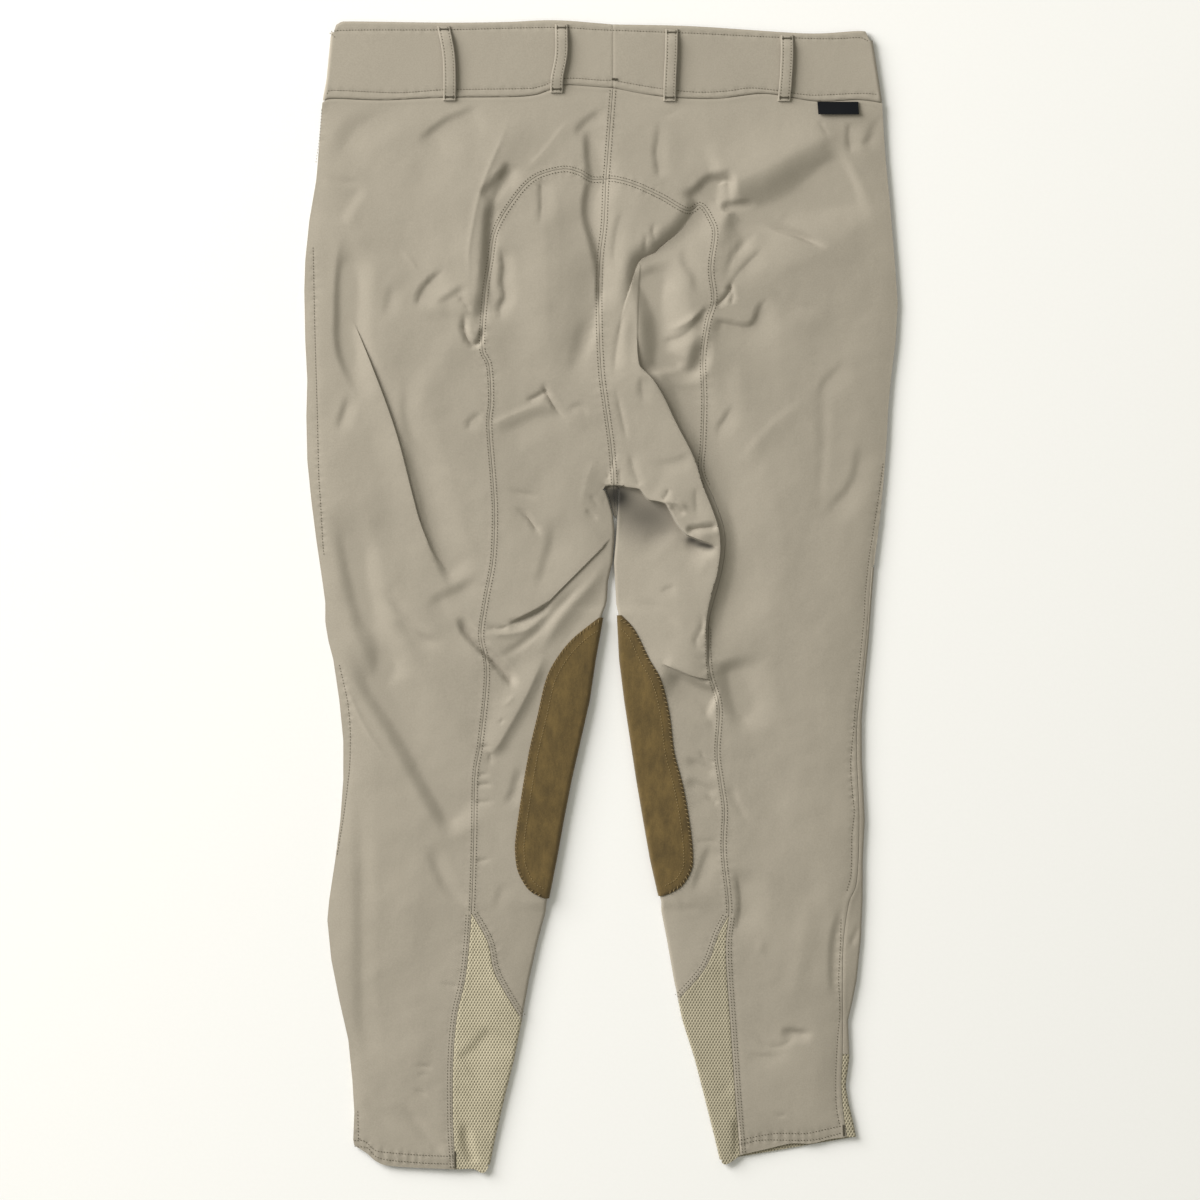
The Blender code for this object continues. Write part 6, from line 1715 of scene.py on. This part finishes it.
def sew(name, rows, tree, sizes):
    """Turn rows of points into a mesh of stitches. sizes are the tree's named inputs."""
    points, edges = [], []
    for row in rows:
        edges += [(len(points) + i, len(points) + i + 1) for i in range(len(row) - 1)]
        points += [tuple(p) for p in np.asarray(row) * MM]
    line = bpy.data.meshes.new(name + "_rows")
    line.from_pydata(points, edges, [])
    guide = placed(name + "_rows", line)
    modifier = guide.modifiers.new("stitches", "NODES")
    modifier.node_group = tree
    for item in tree.interface.items_tree:
        if item.name in sizes:
            modifier[item.identifier] = sizes[item.name]
    graph = bpy.context.evaluated_depsgraph_get()
    mesh = bpy.data.meshes.new_from_object(guide.evaluated_get(graph))
    mesh.name = name
    bpy.data.objects.remove(guide)
    piece = placed(name, mesh)
    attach(piece, "root")
    return piece


# Stage

# In metres
FLOOR_HALF = 4.0
FLOOR_DROP = 0.0004    # how far the floor keeps below the cloth
CAMERA = (-0.00083, -0.00333, 6.0)
VIEW_WIDTH = 1.0       # what the camera takes in at the cloth's height
CLOTH_HEIGHT = 0.006
ROOM_COLOUR = "#FFFCE4"   # the light that comes back from the walls, warmer than the lamps


def area_light(name, place, size, power, colour):
    """A soft box of light at a place, turned to the middle of the cloth."""
    light = bpy.data.lights.new(name, "AREA")
    light.shape = "SQUARE"
    light.size = size
    light.energy = power
    light.color = linear(colour)[:3]
    made = placed(name, light)
    made.location = place
    made.rotation_euler = (-Vector(place)).to_track_quat("-Z", "Y").to_euler()


def stage(settings):
    """A pale floor, soft studio light and a camera that looks straight down."""
    mesh = bpy.data.meshes.new("floor")
    signs = ((-1, -1), (1, -1), (1, 1), (-1, 1))
    corners = [(x * FLOOR_HALF, y * FLOOR_HALF, -FLOOR_DROP) for x, y in signs]
    mesh.from_pydata(corners, [], [(0, 1, 2, 3)])
    mesh.materials.append(paper_finish(settings.floor_colour))
    placed("floor", mesh)

    area_light("key", (-4.4, 2.85, 2.9), 4.2, settings.key_power, "#FFFCF4")
    area_light("fill", (1.3, -1.2, 2.6), 2.2, settings.fill_power, "#F4F8FF")
    scene = bpy.context.scene
    scene.world = bpy.data.worlds.new("studio")
    scene.world.use_nodes = True
    room = scene.world.node_tree.nodes["Background"]
    room.inputs["Color"].default_value = linear(ROOM_COLOUR)
    room.inputs["Strength"].default_value = settings.sky_power
    scene.view_settings.view_transform = "Standard"

    camera = bpy.data.cameras.new("camera")
    camera.sensor_width = 36.0
    camera.sensor_fit = "HORIZONTAL"
    camera.lens = camera.sensor_width * (CAMERA[2] - CLOTH_HEIGHT) / VIEW_WIDTH
    camera.clip_end = 30.0
    scene.camera = placed("camera", camera)
    scene.camera.location = CAMERA


# Settings, operators and panel

def length_property(name, description, value, low, high):
    """A size in metres that a user can change."""
    return bpy.props.FloatProperty(name=name, description=description, default=value, min=low, max=high,
                                   subtype="DISTANCE", unit="LENGTH", precision=4)


def colour_property(name, description, code):
    """A colour that a user can change."""
    return bpy.props.FloatVectorProperty(name=name, description=description, size=3, subtype="COLOR",
                                         min=0.0, max=1.0, default=linear(code)[:3])


class BreechesSettings(bpy.types.PropertyGroup):
    cloth_wall: length_property("Cloth", "Thickness of the shell fabric", 0.0015, 0.001, 0.003)
    band_wall: length_property("Waistband", "Thickness of the doubled waistband", 0.0022, 0.001, 0.003)
    suede_wall: length_property("Suede", "Thickness of the knee patches", 0.0012, 0.001, 0.003)
    cell: length_property("Cell", "Spacing of the points in a panel", 0.0024, 0.0015, 0.02)
    loop_width: length_property("Belt loop", "Width of a belt loop", 0.0105, 0.006, 0.03)
    label_width: length_property("Label width", "Width of the bare woven tab", 0.034, 0.01, 0.06)
    label_drop: length_property("Label drop", "How far the woven tab hangs", 0.0106, 0.005, 0.03)
    stitch_pitch: length_property("Stitch pitch", "Distance between stitches", 0.0025, 0.001, 0.01)
    stitch_length: length_property("Stitch", "Length of one stitch", 0.00125, 0.001, 0.01)
    thread_width: length_property("Thread", "Thickness of the thread", 0.0007, 0.0002, 0.002)
    eyelet_width: length_property("Eyelets across", "Width of one repeat of the mesh", 0.0025, 0.001, 0.01)
    eyelet_height: length_property("Eyelets along", "Height of one repeat of the mesh", 0.0044, 0.001, 0.01)
    unevenness: bpy.props.FloatProperty(name="Unevenness", description="Strength of the cloth's soft lumps",
                                        default=1.0, min=0.0, max=3.0, subtype="FACTOR")
    key_power: bpy.props.FloatProperty(name="Key light", description="Power of the upper left soft box",
                                       default=600.0, min=0.0, max=5000.0, subtype="POWER", unit="POWER")
    fill_power: bpy.props.FloatProperty(name="Fill light", description="Power of the lower right soft box",
                                        default=6.0, min=0.0, max=500.0, subtype="POWER", unit="POWER")
    sky_power: bpy.props.FloatProperty(name="Room light", description="Strength of the even room light",
                                       default=0.36, min=0.0, max=5.0)
    cloth_colour: colour_property("Cloth colour", "Colour of the shell fabric", "#A29B91")
    suede_colour: colour_property("Suede colour", "Colour of the knee patches", "#64522E")
    mesh_colour: colour_property("Mesh colour", "Colour of the calf mesh", "#BDB5A1")
    tape_colour: colour_property("Tape colour", "Colour of the woven tab", "#0A0D13")
    # The thread is given a darker colour than the real thread, which paints in the shade of the needle holes
    # along each row
    thread_colour: colour_property("Thread colour", "Colour of the sewing thread", "#4B4538")
    patch_thread_colour: colour_property("Patch thread colour", "Colour of the patch thread", "#8A7650")
    floor_colour: colour_property("Floor colour", "Colour of the floor", "#F2F3F8")


class Step:
    """What the operators share."""
    bl_options = {"REGISTER", "UNDO"}


class Pair(Step):
    """An operator that adds a piece for the left and one for the right."""

    def execute(self, context):
        for side in ("left", "right"):
            self.add(side, cloth(context))
        return {"FINISHED"}


class AddStage(Step, bpy.types.Operator):
    """Add the floor, the lights and the camera"""
    bl_idname = "breeches.add_stage"
    bl_label = "Stage"

    def execute(self, context):
        stage(context.scene.breeches)
        return {"FINISHED"}


class AddWaistband(Pair, bpy.types.Operator):
    """Add both halves of the waistband"""
    bl_idname = "breeches.add_waistband"
    bl_label = "Waistband"
    add = staticmethod(waistband)


class AddOuterBacks(Pair, bpy.types.Operator):
    """Add the two outer back panels"""
    bl_idname = "breeches.add_outer_backs"
    bl_label = "Outer back panels"
    add = staticmethod(outer_back)


class AddInnerLegs(Pair, bpy.types.Operator):
    """Add the seat and inner leg panels with their knee patches"""
    bl_idname = "breeches.add_inner_legs"
    bl_label = "Inner legs and knee patches"
    add = staticmethod(inner_leg)


class AddCalfMeshes(Pair, bpy.types.Operator):
    """Add the knitted mesh calf panels"""
    bl_idname = "breeches.add_calf_meshes"
    bl_label = "Calf meshes"
    add = staticmethod(calf_mesh)


class AddFronts(Pair, bpy.types.Operator):
    """Add the front panels, which need the waistband, inner legs and calf meshes"""
    bl_idname = "breeches.add_fronts"
    bl_label = "Front panels"

    def add(self, side, kit):
        if not (kit.band_edge and kit.leg_edge and kit.mesh_edge):
            raise RuntimeError("add the waistband, the inner legs and the calf meshes first")
        front(side, kit)


class AddBeltLoops(Step, bpy.types.Operator):
    """Add the four belt loops"""
    bl_idname = "breeches.add_belt_loops"
    bl_label = "Belt loops"

    def execute(self, context):
        for loop in BELT_LOOPS:
            belt_loop(loop, cloth(context), context.scene.breeches.loop_width / MM)
        return {"FINISHED"}


class AddLabel(Step, bpy.types.Operator):
    """Add the bare woven tab"""
    bl_idname = "breeches.add_label"
    bl_label = "Woven tab"

    def execute(self, context):
        settings = context.scene.breeches
        label_tab(cloth(context), settings.label_width / MM, settings.label_drop / MM)
        return {"FINISHED"}


class AddSewing(Step, bpy.types.Operator):
    """Add the rows of stitches and the bar tacks"""
    bl_idname = "breeches.add_sewing"
    bl_label = "Sewing"

    def execute(self, context):
        settings = context.scene.breeches
        kit = cloth(context)
        plain = {"Pitch": settings.stitch_pitch, "Length": settings.stitch_length,
                 "Thread": settings.thread_width, "Slant": 0.0, "Unevenness": 0.06}
        tree = stitch_tree(thread_finish("spun polyester thread", settings.thread_colour))
        for name, rows in (("stitches_seams", seam_rows(kit)), ("stitches_sides", side_rows(kit)),
                           ("stitches_band", band_rows(kit)), ("stitches_loops", loop_rows())):
            sew(name, rows, tree, plain)
        sew("bar_tacks", tack_rows(kit), tree, {**plain, **TACK_STITCH})
        brown = stitch_tree(thread_finish("brown polyester thread", settings.patch_thread_colour))
        slanted = {**plain, **PATCH_STITCH}
        sew("stitches_patch_edge", patch_rows(kit, PATCH_ROW_EDGE), brown, slanted)
        sew("stitches_patch_inner", patch_rows(kit, PATCH_ROW_INNER), brown, plain)
        return {"FINISHED"}


class BreechesPanel(bpy.types.Panel):
    bl_idname = "VIEW3D_PT_breeches"
    bl_label = "Riding breeches"
    bl_space_type = "VIEW_3D"
    bl_region_type = "UI"
    bl_category = "Breeches"

    def draw(self, context):
        for name in BreechesSettings.__annotations__:
            self.layout.prop(context.scene.breeches, name)
        for step in STEPS:
            self.layout.operator(step.bl_idname)


STEPS = (AddStage, AddWaistband, AddOuterBacks, AddInnerLegs, AddCalfMeshes, AddFronts, AddBeltLoops,
         AddLabel, AddSewing)


def register():
    for kind in (BreechesSettings, *STEPS, BreechesPanel):
        bpy.utils.register_class(kind)
    bpy.types.Scene.breeches = bpy.props.PointerProperty(type=BreechesSettings)


def unregister():
    del bpy.types.Scene.breeches
    for kind in reversed((BreechesSettings, *STEPS, BreechesPanel)):
        bpy.utils.unregister_class(kind)


def main():
    register()
    for step in STEPS:
        group, name = step.bl_idname.split(".")
        getattr(getattr(bpy.ops, group), name)()


if __name__ == "__main__":
    main()
